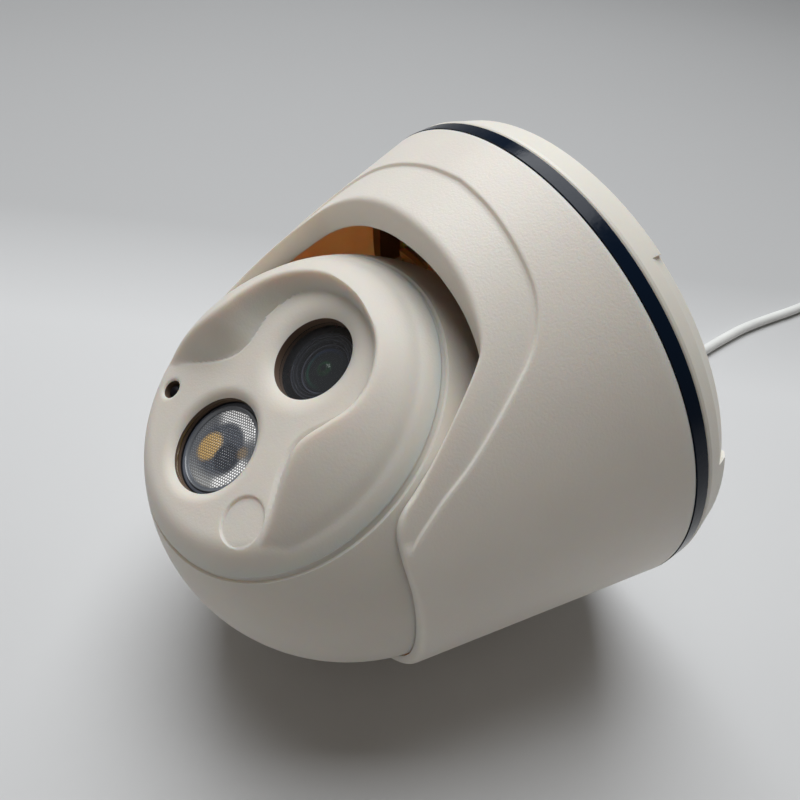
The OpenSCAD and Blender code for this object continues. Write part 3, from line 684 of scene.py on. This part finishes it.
def signed_distance(points, outline):
    """Distance of each point from a closed outline, positive inside."""
    nearest = np.full(len(points), 1e9)
    inside = np.zeros(len(points), bool)
    for a, b in zip(outline, np.roll(outline, -1, 0)):
        ab = b - a
        t = np.clip(((points - a) @ ab) / max(ab @ ab, 1e-9), 0, 1)
        nearest = np.minimum(nearest, np.linalg.norm(points - a - t[:, None] * ab, axis=1))
        crosses = (a[1] > points[:, 1]) != (b[1] > points[:, 1])
        at_x = a[0] + (points[:, 1] - a[1]) / np.where(b[1] == a[1], 1e-9, b[1] - a[1]) * ab[0]
        inside ^= crosses & (points[:, 0] < at_x)
    return np.where(inside, nearest, -nearest)


def smooth_min(a, b, k):
    h = np.clip(0.5 + 0.5 * (b - a) / k, 0, 1)
    return b + (a - b) * h - k * h * (1 - h)


def smooth_max(a, b, k):
    return -smooth_min(-a, -b, k)


RIDGE_LINE = outline_of(RIDGE)
FLAT_LINE = outline_of(FLAT_EDGE)


def hole_roll(points, centre, radius, reach, drop):
    """How far the flat rolls down towards a hole, from nothing at reach to drop at the hole's edge."""
    rho = np.linalg.norm(points - centre, axis=1)
    t = np.clip((reach - rho) / (reach - radius), 0, 1)
    return drop * t ** 2.4


def face_height(points):
    """Height of the front cover's outside over each point of the face frame."""
    rho2 = (points ** 2).sum(1)
    ball = np.sqrt(np.maximum(BALL_R ** 2 - rho2, 1))
    from_ridge = signed_distance(points, RIDGE_LINE)
    from_flat = -signed_distance(points, FLAT_LINE)
    gap = np.maximum(from_ridge, 0) + np.maximum(from_flat, 0)
    u = from_ridge / np.maximum(gap, 0.3)
    foot = FACE_Z - FOOT_DROP * ease((gap - 1) / 4)
    fall = np.where(u > 0, (1 - np.clip(u, 0, 1)) ** SCOOP_CURVE, 1 - SCOOP_CURVE * u)
    wall = foot + (ball - foot) * fall
    rise = foot + (FACE_Z - foot) * ease(1 - from_flat / FLAT_ROLL)
    recess = np.where(from_flat > 0, smooth_max(wall, rise, 0.5), FACE_Z)
    recess = recess - hole_roll(points, LENS_AT, LENS_HOLE_R, LENS_ROLL_R, HOLE_DROP)
    recess = recess - hole_roll(points, LAMP_AT, LAMP_HOLE_R, LAMP_ROLL_R, HOLE_DROP)
    recess = recess - hole_roll(points, SENSOR_AT, SENSOR_HOLE_R, SENSOR_ROLL_R, SENSOR_DROP)
    blank = np.linalg.norm(points - BLANK_AT, axis=1)
    recess = recess - BLANK_DEPTH * ease((BLANK_R + BLANK_EDGE - blank) / (2 * BLANK_EDGE))
    return smooth_min(ball, recess, RIDGE_ROLL)


def circle_points(centre, radius, step):
    count = max(12, int(2 * math.pi * radius / step))
    a = 2 * math.pi * np.arange(count) / count
    return np.stack([centre[0] + radius * np.cos(a), centre[1] + radius * np.sin(a)], 1)


def offset_line(outline, distance, step):
    """Points beside an outline at one distance, kept where they are inside the face."""
    along = unit(np.roll(outline, -1, 0) - np.roll(outline, 1, 0))
    normal = np.stack([-along[:, 1], along[:, 0]], 1)
    line = outline + normal * distance
    lengths = np.concatenate([[0], np.cumsum(np.linalg.norm(np.diff(line, axis=0), axis=1))])
    wanted = np.arange(0, lengths[-1], step)
    line = np.stack([np.interp(wanted, lengths, line[:, 0]), np.interp(wanted, lengths, line[:, 1])], 1)
    return line[(line ** 2).sum(1) < (SEAM_R - 0.5) ** 2]


class SpacedPoints:
    """Points on a plane, each added only where no earlier one is too near."""

    def __init__(self, cell=0.4):
        self.cell = cell
        self.points = []
        self.cells = {}

    def is_free(self, x, y, room):
        i, j = int(x // self.cell), int(y // self.cell)
        for a in (i - 1, i, i + 1):
            for b in (j - 1, j, j + 1):
                for px, py in self.cells.get((a, b), ()):
                    if (px - x) ** 2 + (py - y) ** 2 < room * room:
                        return False
        return True

    def add(self, group, room):
        for x, y in group:
            if room == 0 or self.is_free(x, y, room):
                self.points.append((x, y))
                self.cells.setdefault((int(x // self.cell), int(y // self.cell)), []).append((x, y))


def face_points():
    """Points of the face's mesh: rings round the holes, rows along the outlines, and a grid between."""
    loops = [circle_points((0, 0), SEAM_R, 0.5)]
    holes = [(LENS_AT, LENS_HOLE_R, 12.6), (LAMP_AT, LAMP_HOLE_R, 11.9), (SENSOR_AT, SENSOR_HOLE_R, 2.7)]
    rings = [circle_points((0, 0), SEAM_R - d, 0.5) for d in (0.25, 0.6)]
    for centre, radius, reach in holes:
        loops.append(circle_points(centre, radius, 0.35))
        rings += [circle_points(centre, r, 0.4) for r in np.arange(radius + 0.22, reach, 0.3)]
    rings += [circle_points(BLANK_AT, BLANK_R + d, 0.35) for d in (-0.5, -0.25, -0.1, 0.05, 0.2, 0.45)]
    rings += [offset_line(FLAT_LINE, d, 0.4) for d in (-0.15, 0.12, 0.4, 0.7, 1.0)]
    rings += [offset_line(RIDGE_LINE, d, 0.45) for d in (-0.9, -0.6, -0.3, 0, 0.3, 0.6, 0.9)]
    kept = SpacedPoints()
    for group, room in [(p, 0) for p in loops] + [(p, 0.16) for p in rings] + [(face_grid(), 0.3)]:
        kept.add(group, room)
    return loops, kept.points, holes


def face_grid():
    """Points in staggered rows, over all the face but its edge."""
    last_row = SEAM_R / FACE_PITCH / ROW_RATIO
    grid = []
    for row in range(int(-last_row), int(last_row) + 1):
        xs = np.arange(-SEAM_R, SEAM_R, FACE_PITCH) + (row % 2) * FACE_PITCH / 2
        grid.append(np.stack([xs, 0 * xs + row * FACE_PITCH * ROW_RATIO], 1))
    grid = np.concatenate(grid)
    return grid[(grid ** 2).sum(1) < (SEAM_R - 0.9) ** 2]


def face_triangles():
    """The face seen flat: its points, and triangles between them that leave out the holes."""
    loops, kept, holes = face_points()
    edges, first = [], 0
    for loop in loops:
        edges += [(first + k, first + (k + 1) % len(loop)) for k in range(len(loop))]
        first += len(loop)
    flat, _, triangles, *_ = delaunay_2d_cdt([Vector(p) for p in kept], edges, [], 0, 1e-5)
    flat = np.array([tuple(p) for p in flat])
    triangles = np.array(triangles)
    centres = flat[triangles].mean(1)
    keep = np.ones(len(triangles), bool)
    for centre, radius, _ in holes:
        keep &= np.linalg.norm(centres - centre, axis=1) > radius * 0.999
    triangles = triangles[keep]
    a, b, c = flat[triangles[:, 0]], flat[triangles[:, 1]], flat[triangles[:, 2]]
    turned = ((b - a)[:, 0] * (c - a)[:, 1] - (b - a)[:, 1] * (c - a)[:, 0]) < 0
    triangles[turned] = triangles[turned][:, ::-1]
    return flat, triangles


def make_face():
    """The ball's front cover, with the bell-shaped recess, its flat and its holes, as one closed shell."""
    flat, triangles = face_triangles()
    height = face_height(flat)
    low = np.maximum(height - FACE_THICK, SEAM_Z - 0.3)
    top = np.column_stack([flat, height])
    bottom = np.column_stack([flat, low])
    count = len(flat)
    faces = [tuple(t) for t in triangles] + [tuple(t[::-1] + count) for t in triangles]
    edge_count = {}
    for t in triangles:
        for e in ((t[0], t[1]), (t[1], t[2]), (t[2], t[0])):
            edge_count[e] = edge_count.get(e, 0) + 1
    for i, j in edge_count:
        if (j, i) not in edge_count:
            faces.append((i, i + count, j + count, j)[::-1])
    obj = mesh_object("face_shell", np.vstack([top, bottom]), faces, FACE)
    split_at_edges(obj, 40)
    paint(obj, "ball_plastic", "hole_wall_shade")
    # The holes' walls get painted shade
    mark_hole_walls(obj, len(triangles) * 2, faces, np.vstack([flat, flat]))
    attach(obj, "ball")
    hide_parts("ball_front_cover")


def mark_hole_walls(obj, first, faces, places):
    """Gives the walls of the holes dark brown painted shade, warmed for light seen through the plastic."""
    holes = ((LENS_AT, LENS_HOLE_R), (LAMP_AT, LAMP_HOLE_R), (SENSOR_AT, SENSOR_HOLE_R))
    for index in range(first, len(faces)):
        middle = places[list(faces[index])].mean(0)
        for centre, radius in holes:
            if np.linalg.norm(middle - centre) < radius + 0.2:
                obj.data.polygons[index].material_index = 1


def split_at_edges(obj, degrees):
    """Keeps edges sharper than this crisp, and the rest smooth."""
    obj.data.set_sharp_from_angle(angle=math.radians(degrees))


# ---------------------------------------------------------------- lens and lamp
LENS_TOP = 27.0
# Painted highlights on the crests of the barrel's steps: their radii, their width, and the two colours
CREST_HIGHLIGHT_RADII = (5.6, 6.25, 6.76)
CREST_HIGHLIGHT_WIDTH = 0.07
BARREL_BLACK = np.array([0.018, 0.021, 0.028])
BARREL_HIGHLIGHT = np.array([0.14, 0.155, 0.20])
# The front element's dome, and the small bulge in its middle that catches the light
DOME_R, DOME_Z, DOME_FLATNESS = 4.5, 26.05, 45
GLINT_R = 1.3
GLINT_CURVE = 2.1
LAMP_TOP = 28.5
LAMP_SIDES = 144
# Pebbled lens: its radius and that of a pebble as a share of their pitch, and the spacing of its mesh
PEBBLE_R = 7.66
PEBBLE_PITCH = 0.56
PEBBLE_SHARE = 0.58
PEBBLE_H = 0.14
PEBBLE_STEP = 0.065
PEBBLE_SIDES = 420
# Directions and places round the lamp, painted on its lens: two bright flares of its cone (painted highlights),
# its grey side (painted reflection), the phosphor patch, the dark cup (painted shade) and an amber glow (painted)
LAMP_FLARE_HIGHLIGHTS = [(math.radians(16), 0.72, 4.6), (math.radians(-100), 0.5, 5.2)]
LAMP_GREY_REFLECTION = math.radians(-149)
LAMP_PATCH = (-1.9, 2.4)
LAMP_SHADED_CUP = (-0.2, -2.5)
LAMP_GLOW = (3.0, -4.3)
# Bead of glue: its middle radius, its thickness and its mesh
GLUE_R, GLUE_HALF = 9.42, 0.12
GLUE_SIDES, GLUE_ACROSS = 240, 10


def lathe(profile, sides=96):
    """Points and faces of a profile of (radius, height) turned about the z axis; radius 0 is one point."""
    verts, faces, rings = [], [], []
    for r, z in profile:
        rings.append((len(verts), r == 0))
        turns = [0] if r == 0 else 2 * math.pi * np.arange(sides) / sides
        verts += [(r * math.cos(a), r * math.sin(a), z) for a in turns]
    closed = profile[0][0] > 0
    for (a, a_tip), (b, b_tip) in zip(rings, rings[1:] + rings[:1] if closed else rings[1:]):
        for k in range(sides):
            n = (k + 1) % sides
            if a_tip:
                faces.append((a, b + n, b + k))
            elif b_tip:
                faces.append((a + k, a + n, b))
            else:
                faces.append((a + k, a + n, b + n, b + k))
    return verts, faces


def face_piece(name, verts, faces, centre, slot, material, *replaced, crisp=35):
    """A piece on the ball, drawn round one point of the face."""
    obj = mesh_object(name, verts, faces, FACE @ Matrix.Translation((*centre, 0)))
    paint(obj, material)
    split_at_edges(obj, crisp)
    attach(obj, "ball")
    if replaced:
        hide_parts(*replaced)
    return obj


def tint(obj, colours):
    attribute = obj.data.color_attributes.new("tint", "FLOAT_COLOR", "POINT")
    attribute.data.foreach_set("color", np.column_stack([colours, np.ones(len(colours))]).ravel())


def mix(a, b, t):
    return a + (b - a) * np.clip(t, 0, 1)[:, None]


def make_barrel():
    """The lens barrel, with the steps and crests of its front, and highlights painted on the crests."""
    z = LENS_TOP
    steps = [(3, 8.2), (6, 8.2), (6, 17), (7.2, 17), (7.2, z - 0.8), (7.12, z - 0.45), (6.95, z - 0.2),
             (6.8, z - 0.06), (6.72, z - 0.05), (6.66, z - 0.3), (6.4, z - 0.32), (6.32, z - 0.1),
             (6.18, z - 0.08), (6.1, z - 0.4), (5.75, z - 0.42), (5.68, z - 0.2), (5.52, z - 0.18),
             (5.45, z - 0.6), (5.3, z - 1.9), (3, z - 1.9)]
    verts, faces = lathe(steps)
    obj = face_piece("lens_barrel_stepped", verts, faces, LENS_AT, "black_plastic", "black_with_painted_highlights",
                     "lens_barrel")
    r = np.hypot(*np.array(verts)[:, :2].T)
    # Painted highlights along the crests, on black
    crest_highlight = np.max([np.exp(-((r - at) / CREST_HIGHLIGHT_WIDTH) ** 2) for at in CREST_HIGHLIGHT_RADII], axis=0)
    tint(obj, mix(np.tile(BARREL_BLACK, (len(r), 1)), BARREL_HIGHLIGHT, crest_highlight))


def make_front_element():
    """The coated front element of the lens: its blackened edge, its dome and the bulge in the middle."""
    z = LENS_TOP
    edge = [(0, z - 4.4), (5.2, z - 4.4), (5.23, z - 1.35), (5.1, z - 1.1), (4.95, z - 1.12),
            (4.8, z - 1.3), (4.72, z - 1.15), (4.6, z - 1.12)]
    dome = [(float(r), DOME_Z - r * r / DOME_FLATNESS) for r in np.linspace(DOME_R, GLINT_R, 20)]
    cap_z = dome[-1][1] - math.sqrt(GLINT_CURVE ** 2 - GLINT_R ** 2)
    for r in np.linspace(GLINT_R, 0, 12)[1:]:
        dome.append((float(r), cap_z + math.sqrt(GLINT_CURVE ** 2 - r * r)))
    verts, faces = lathe(edge + dome)
    obj = face_piece("lens_front_element", verts, faces, LENS_AT, "coated_glass", "coated_glass",
                     "lens_elements")
    places = np.array(verts)
    tint(obj, coating_colours(np.hypot(places[:, 0], places[:, 1]), np.arctan2(places[:, 1], places[:, 0])))


def coating_colours(r, around):
    """The coating's green and blue crescents on one side and its leaf-green middle round the glint, all painted
    reflections, and the element's black edge with a painted highlight on its ring.
    """
    glass_dark = np.array([0.020, 0.026, 0.029])
    green = np.array([0.030, 0.120, 0.085])
    blue = np.array([0.035, 0.050, 0.110])
    leaf = np.array([0.025, 0.110, 0.045])
    ring_black = np.array([0.020, 0.022, 0.030])
    ring_highlight = np.array([0.12, 0.13, 0.17])
    colours = np.tile(glass_dark, (len(r), 1))
    # Painted reflections: each crescent lies on one side only
    green_reflection_side = np.clip(np.cos(around - 2.3), 0, 1)
    blue_reflection_side = np.clip(np.cos(around - 1.0), 0, 1) ** 2
    colours = mix(colours, green, np.exp(-((r - 3.9) / 0.3) ** 2) * green_reflection_side)
    colours = mix(colours, blue, np.exp(-((r - 4.0) / 0.4) ** 2) * blue_reflection_side)
    # Painted green glow round the glint
    colours = mix(colours, leaf, np.exp(-((r - 1.1) / 0.4) ** 2) * 0.7)
    colours[r > 4.55] = ring_black
    # Painted highlight on the edge's ring
    colours[(r > 4.9) & (r < 5.15)] = ring_highlight
    return colours


def lattice_cell(x, y, pitch):
    """Centre of the pebble nearest to a point, on a lattice of staggered rows, and the distance to it."""
    row_h = pitch * math.sqrt(3) / 2
    best = None
    for shift in (0, 1):
        row = 2 * np.round((y / row_h - shift) / 2) + shift
        cx = (np.round(x / pitch - 0.5 * (row % 2)) + 0.5 * (row % 2)) * pitch
        cy = row * row_h
        d = np.hypot(x - cx, y - cy)
        if best is None:
            best = [cx, cy, d]
        else:
            nearer = d < best[2]
            best = [np.where(nearer, new, old) for new, old in zip((cx, cy, d), best)]
    return best


def make_bezel():
    """The lamp's clear rim and the frosted ring inside it."""
    z = LAMP_TOP
    rim = [(8.5, z - 1.1), (9.25, z - 1.1), (9.3, z - 0.6), (9.22, z - 0.3), (9.05, z - 0.2),
           (8.8, z - 0.18), (8.65, z - 0.2), (8.52, z - 0.3)]
    verts, faces = lathe(rim, LAMP_SIDES)
    face_piece("lamp_rim", verts, faces, LAMP_AT, "clear_optic", "lamp_rim", "lamp_optic")
    frost = [(7.6, z - 1.0), (8.5, z - 1.0), (8.5, z - 0.05), (8.43, z + 0.06), (8.3, z + 0.08),
             (8.2, z + 0.01), (8.0, z - 0.1), (7.75, z - 0.14), (7.64, z - 0.3)]
    verts, faces = lathe(frost, LAMP_SIDES)
    face_piece("lamp_frosted_ring", verts, faces, LAMP_AT, "clear_optic", "lamp_frost")


def disc_faces(rings, sides):
    """Faces of a disc: a centre point, this many rings round it, and one more ring below the last."""
    faces = []
    below = 1 + rings * sides
    last = below - sides
    for k in range(sides):
        n = (k + 1) % sides
        faces.append((0, 1 + k, 1 + n))
        for a in range(1, last, sides):
            b = a + sides
            faces.append((a + k, b + k, b + n, a + n))
        faces.append((last + k, below + k, below + n, last + n))
    faces.append(tuple(range(below, below + sides))[::-1])
    return faces


def make_pebbled_lens():
    """The lamp's pebbled lens, tinted with what it shows of the phosphor and the cone, with painted highlights and
    shade.
    """
    radii = list(np.arange(PEBBLE_STEP, PEBBLE_R, PEBBLE_STEP)) + [PEBBLE_R]
    turns = 2 * math.pi * np.arange(PEBBLE_SIDES) / PEBBLE_SIDES
    rings = [np.stack([r * np.cos(turns), r * np.sin(turns)], 1) for r in radii]
    flat = np.vstack([np.zeros((1, 2))] + rings)
    cx, cy, d = lattice_cell(flat[:, 0], flat[:, 1], PEBBLE_PITCH)
    r = np.hypot(flat[:, 0], flat[:, 1])
    pebble = PEBBLE_H * (1 - np.clip(d / (PEBBLE_PITCH * PEBBLE_SHARE), 0, 1) ** 2)
    height = LAMP_TOP - 0.3 + pebble * ease((PEBBLE_R - r) / 0.3)
    top = np.column_stack([flat, height])
    edge = flat[-PEBBLE_SIDES:]
    skirt = np.column_stack([edge, np.full(PEBBLE_SIDES, LAMP_TOP - 0.9)])
    faces = disc_faces(len(radii), PEBBLE_SIDES)
    obj = face_piece("lamp_pebbled_lens", np.vstack([top, skirt]), faces, LAMP_AT, "clear_optic",
                     "clear_optic", crisp=180)
    cx, cy, d = np.append(cx, edge[:, 0]), np.append(cy, edge[:, 1]), np.append(d, 0 * edge[:, 0])
    tint(obj, pebble_colours(cx, cy, d))


def pebble_colours(cx, cy, d):
    """What each pebble shows of the lamp below it: phosphor, painted highlights and reflection of the bright cone,
    or painted shade of the dark cup, each pebble darker towards its edge.
    """
    r = np.hypot(cx, cy)
    around = np.arctan2(cy, cx)
    slate = np.array([0.11, 0.125, 0.155])
    dark = np.array([0.035, 0.042, 0.060])
    grey = np.array([0.50, 0.51, 0.51])
    white = np.array([1.0, 1.0, 1.0])
    amber = np.array([0.85, 0.55, 0.20])
    dot = np.clip(1 - d / (PEBBLE_PITCH * 0.5), 0, 1)
    colours = np.tile(slate, (len(r), 1))
    # Painted reflection: the cone's grey side, strongest in one direction
    grey_reflection_side = 0.25 + 0.75 * np.clip(np.cos(around - LAMP_GREY_REFLECTION), 0, 1) ** 3
    colours = mix(colours, grey, ease((r - 4.2) / 2.8) * grey_reflection_side)
    # Painted highlights: the cone's bright flares, gathered in each pebble's middle
    for angle, reach, inner in LAMP_FLARE_HIGHLIGHTS:
        turn = (around - angle + math.pi) % (2 * math.pi) - math.pi
        flare = ease((1.5 - np.abs(turn) / reach) / 0.6) * ease((r - inner) / 0.9)
        colours = mix(colours, white, flare * (0.12 + 0.88 * ease(dot / 0.75)))
    patch = np.hypot((cx - LAMP_PATCH[0]) / 2.9, (cy - LAMP_PATCH[1]) / 2.5)
    hollow = np.hypot(cx - LAMP_SHADED_CUP[0], cy - LAMP_SHADED_CUP[1])
    # Painted shade: the dark cup
    colours = mix(colours, dark, ease((3.3 - hollow) / 1.0) * 0.8)
    shown = ease((1.2 - patch) / 0.4) * ease((hollow - 2.7) / 0.6)
    # Painted amber glow
    glow = 0.35 * ease(1.5 - np.hypot(cx - LAMP_GLOW[0], cy - LAMP_GLOW[1]) / 1.1)
    colours = mix(colours, amber, np.maximum(shown, glow) * (0.45 + 0.55 * ease(dot / 0.6)))
    # Painted shade: each pebble darker towards its edge
    return colours * (0.5 + 0.5 * ease(dot / 0.4))[:, None]


def make_glue():
    """An uneven bead of glue between the lamp's bezel and the wall of its hole."""
    verts, faces = [], []
    for k in range(GLUE_SIDES):
        a = 2 * math.pi * k / GLUE_SIDES
        swell = 1 + 0.35 * math.sin(3 * a + 1) + 0.25 * math.sin(7 * a) + 0.2 * math.sin(17 * a + 2)
        height = LAMP_TOP + 0.5 + 0.3 * swell
        for j in range(GLUE_ACROSS):
            b = 2 * math.pi * j / GLUE_ACROSS
            r = GLUE_R + GLUE_HALF * swell * math.cos(b)
            verts.append((r * math.cos(a), r * math.sin(a), height + 0.2 * swell * math.sin(b)))
        here, there = k * GLUE_ACROSS, (k + 1) % GLUE_SIDES * GLUE_ACROSS
        for j in range(GLUE_ACROSS):
            m = (j + 1) % GLUE_ACROSS
            faces.append((here + j, there + j, there + m, here + m))
    face_piece("lamp_glue", verts, faces, LAMP_AT, "clear_optic", "glue", crisp=180)


make_cover()
make_skirt()
make_face()
make_barrel()
make_front_element()
make_bezel()
make_pebbled_lens()
make_glue()


# ---------------------------------------------------------------- stage
# Painted light and shade on the table: its lightness at distances behind the object, in metres, and how much bluer
# than grey it is
STAGE_PAINTED_LIGHT = [(-0.10, 0.58), (0.0, 0.63), (0.09, 0.66), (0.17, 0.47),
                (0.45, 0.40), (0.8, 0.34), (1.2, 0.32)]
STAGE_GREEN, STAGE_BLUE = 1.008, 1.015
# The table's near edge, where it starts to bend up, the bend's radius, and the wall's top
STAGE_NEAR, STAGE_FAR, STAGE_BEND, STAGE_TOP = -1.2, 0.9, 0.5, 2.4
STAGE_HALF_WIDTH = 3
BEND_STEPS = 16
HEADING = math.atan2(CAMERA_FORWARD.x, CAMERA_FORWARD.y)
WORLD_COLOUR = (1.0, 0.90, 0.79, 1)
WORLD_STRENGTH = 0.12


def fill_ramp(ramp, stops):
    """Gives a colour ramp these stops, (position, colour), and no others."""
    elements = ramp.color_ramp.elements
    elements[0].position, elements[1].position = stops[0][0], stops[-1][0]
    elements[0].color, elements[1].color = (*stops[0][1], 1), (*stops[-1][1], 1)
    for position, colour in stops[1:-1]:
        elements.new(position).color = (*colour, 1)


def make_stage():
    """A pale table that sweeps up into a pale wall far behind."""
    profile = [(STAGE_NEAR, 0.0), (STAGE_FAR, 0.0)]
    for k in range(1, BEND_STEPS + 1):
        a = math.radians(90) * k / BEND_STEPS
        profile.append((STAGE_FAR + STAGE_BEND * math.sin(a), STAGE_BEND - STAGE_BEND * math.cos(a)))
    profile.append((STAGE_FAR + STAGE_BEND, STAGE_TOP))
    verts, faces = [], []
    for y, z in profile:
        verts.append((-STAGE_HALF_WIDTH, y, z))
        verts.append((STAGE_HALF_WIDTH, y, z))
    for i in range(0, 2 * len(profile) - 2, 2):
        faces.append((i, i + 1, i + 3, i + 2))
    stage = mesh_object("stage", verts, faces, Matrix.Rotation(-HEADING, 4, "Z"))
    stage.data.materials.append(table_material())


def table_material():
    """The table's surface, with light and shade painted on it that change with the distance behind the object."""
    material = plain("table", (0.50, 0.505, 0.51), rough=0.55, spread=0.015, scale=400, bump=0.005)
    nodes, links = material.node_tree.nodes, material.node_tree.links
    place = nodes.new("ShaderNodeTexCoord")
    away = nodes.new("ShaderNodeMapping")
    away.inputs["Rotation"].default_value = (0, 0, HEADING + math.pi / 2)
    links.new(place.outputs["Object"], away.inputs["Vector"])
    split = nodes.new("ShaderNodeSeparateXYZ")
    links.new(away.outputs["Vector"], split.inputs["Vector"])
    near, far = STAGE_PAINTED_LIGHT[0][0], STAGE_PAINTED_LIGHT[-1][0]
    reach = nodes.new("ShaderNodeMapRange")
    reach.inputs["From Min"].default_value = -near
    reach.inputs["From Max"].default_value = -far
    links.new(split.outputs["X"], reach.inputs["Value"])
    stops = []
    for y, shade in STAGE_PAINTED_LIGHT:
        stops.append(((y - near) / (far - near), (shade, shade * STAGE_GREEN, shade * STAGE_BLUE)))
    # Painted light and shade along the table
    ramp = nodes.new("ShaderNodeValToRGB")
    fill_ramp(ramp, stops)
    links.new(reach.outputs["Result"], ramp.inputs["Fac"])
    links.new(ramp.outputs["Color"], nodes["Principled BSDF"].inputs["Base Color"])
    return material


def area_light(name, at, towards, size, power, colour=(1, 1, 1)):
    data = bpy.data.lights.new(name, "AREA")
    data.shape = "RECTANGLE"
    data.size, data.size_y = size
    data.energy = power
    data.color = colour
    light = bpy.data.objects.new(name, data)
    light.location = at
    light.rotation_euler = (Vector(towards) - Vector(at)).to_track_quat("-Z", "Y").to_euler()
    bpy.context.scene.collection.objects.link(light)


def make_lights():
    """A warm, dim surround, a large key light above the far side, and a weak one from the left."""
    world = bpy.data.worlds.new("world")
    world.use_nodes = True
    background = world.node_tree.nodes["Background"]
    background.inputs["Color"].default_value = WORLD_COLOUR
    background.inputs["Strength"].default_value = WORLD_STRENGTH
    bpy.context.scene.world = world
    area_light("key", (0.28, 0.44, 1.28), (0, 0, 0.04), (1.1, 1.1), 21, (0.96, 0.98, 1.0))
    area_light("left", (-1.3, -0.1, 0.7), (0, 0, 0.05), (0.8, 0.8), 0.8, (1.0, 0.98, 0.95))


make_stage()
make_lights()
bpy.context.scene.view_settings.view_transform = "Standard"
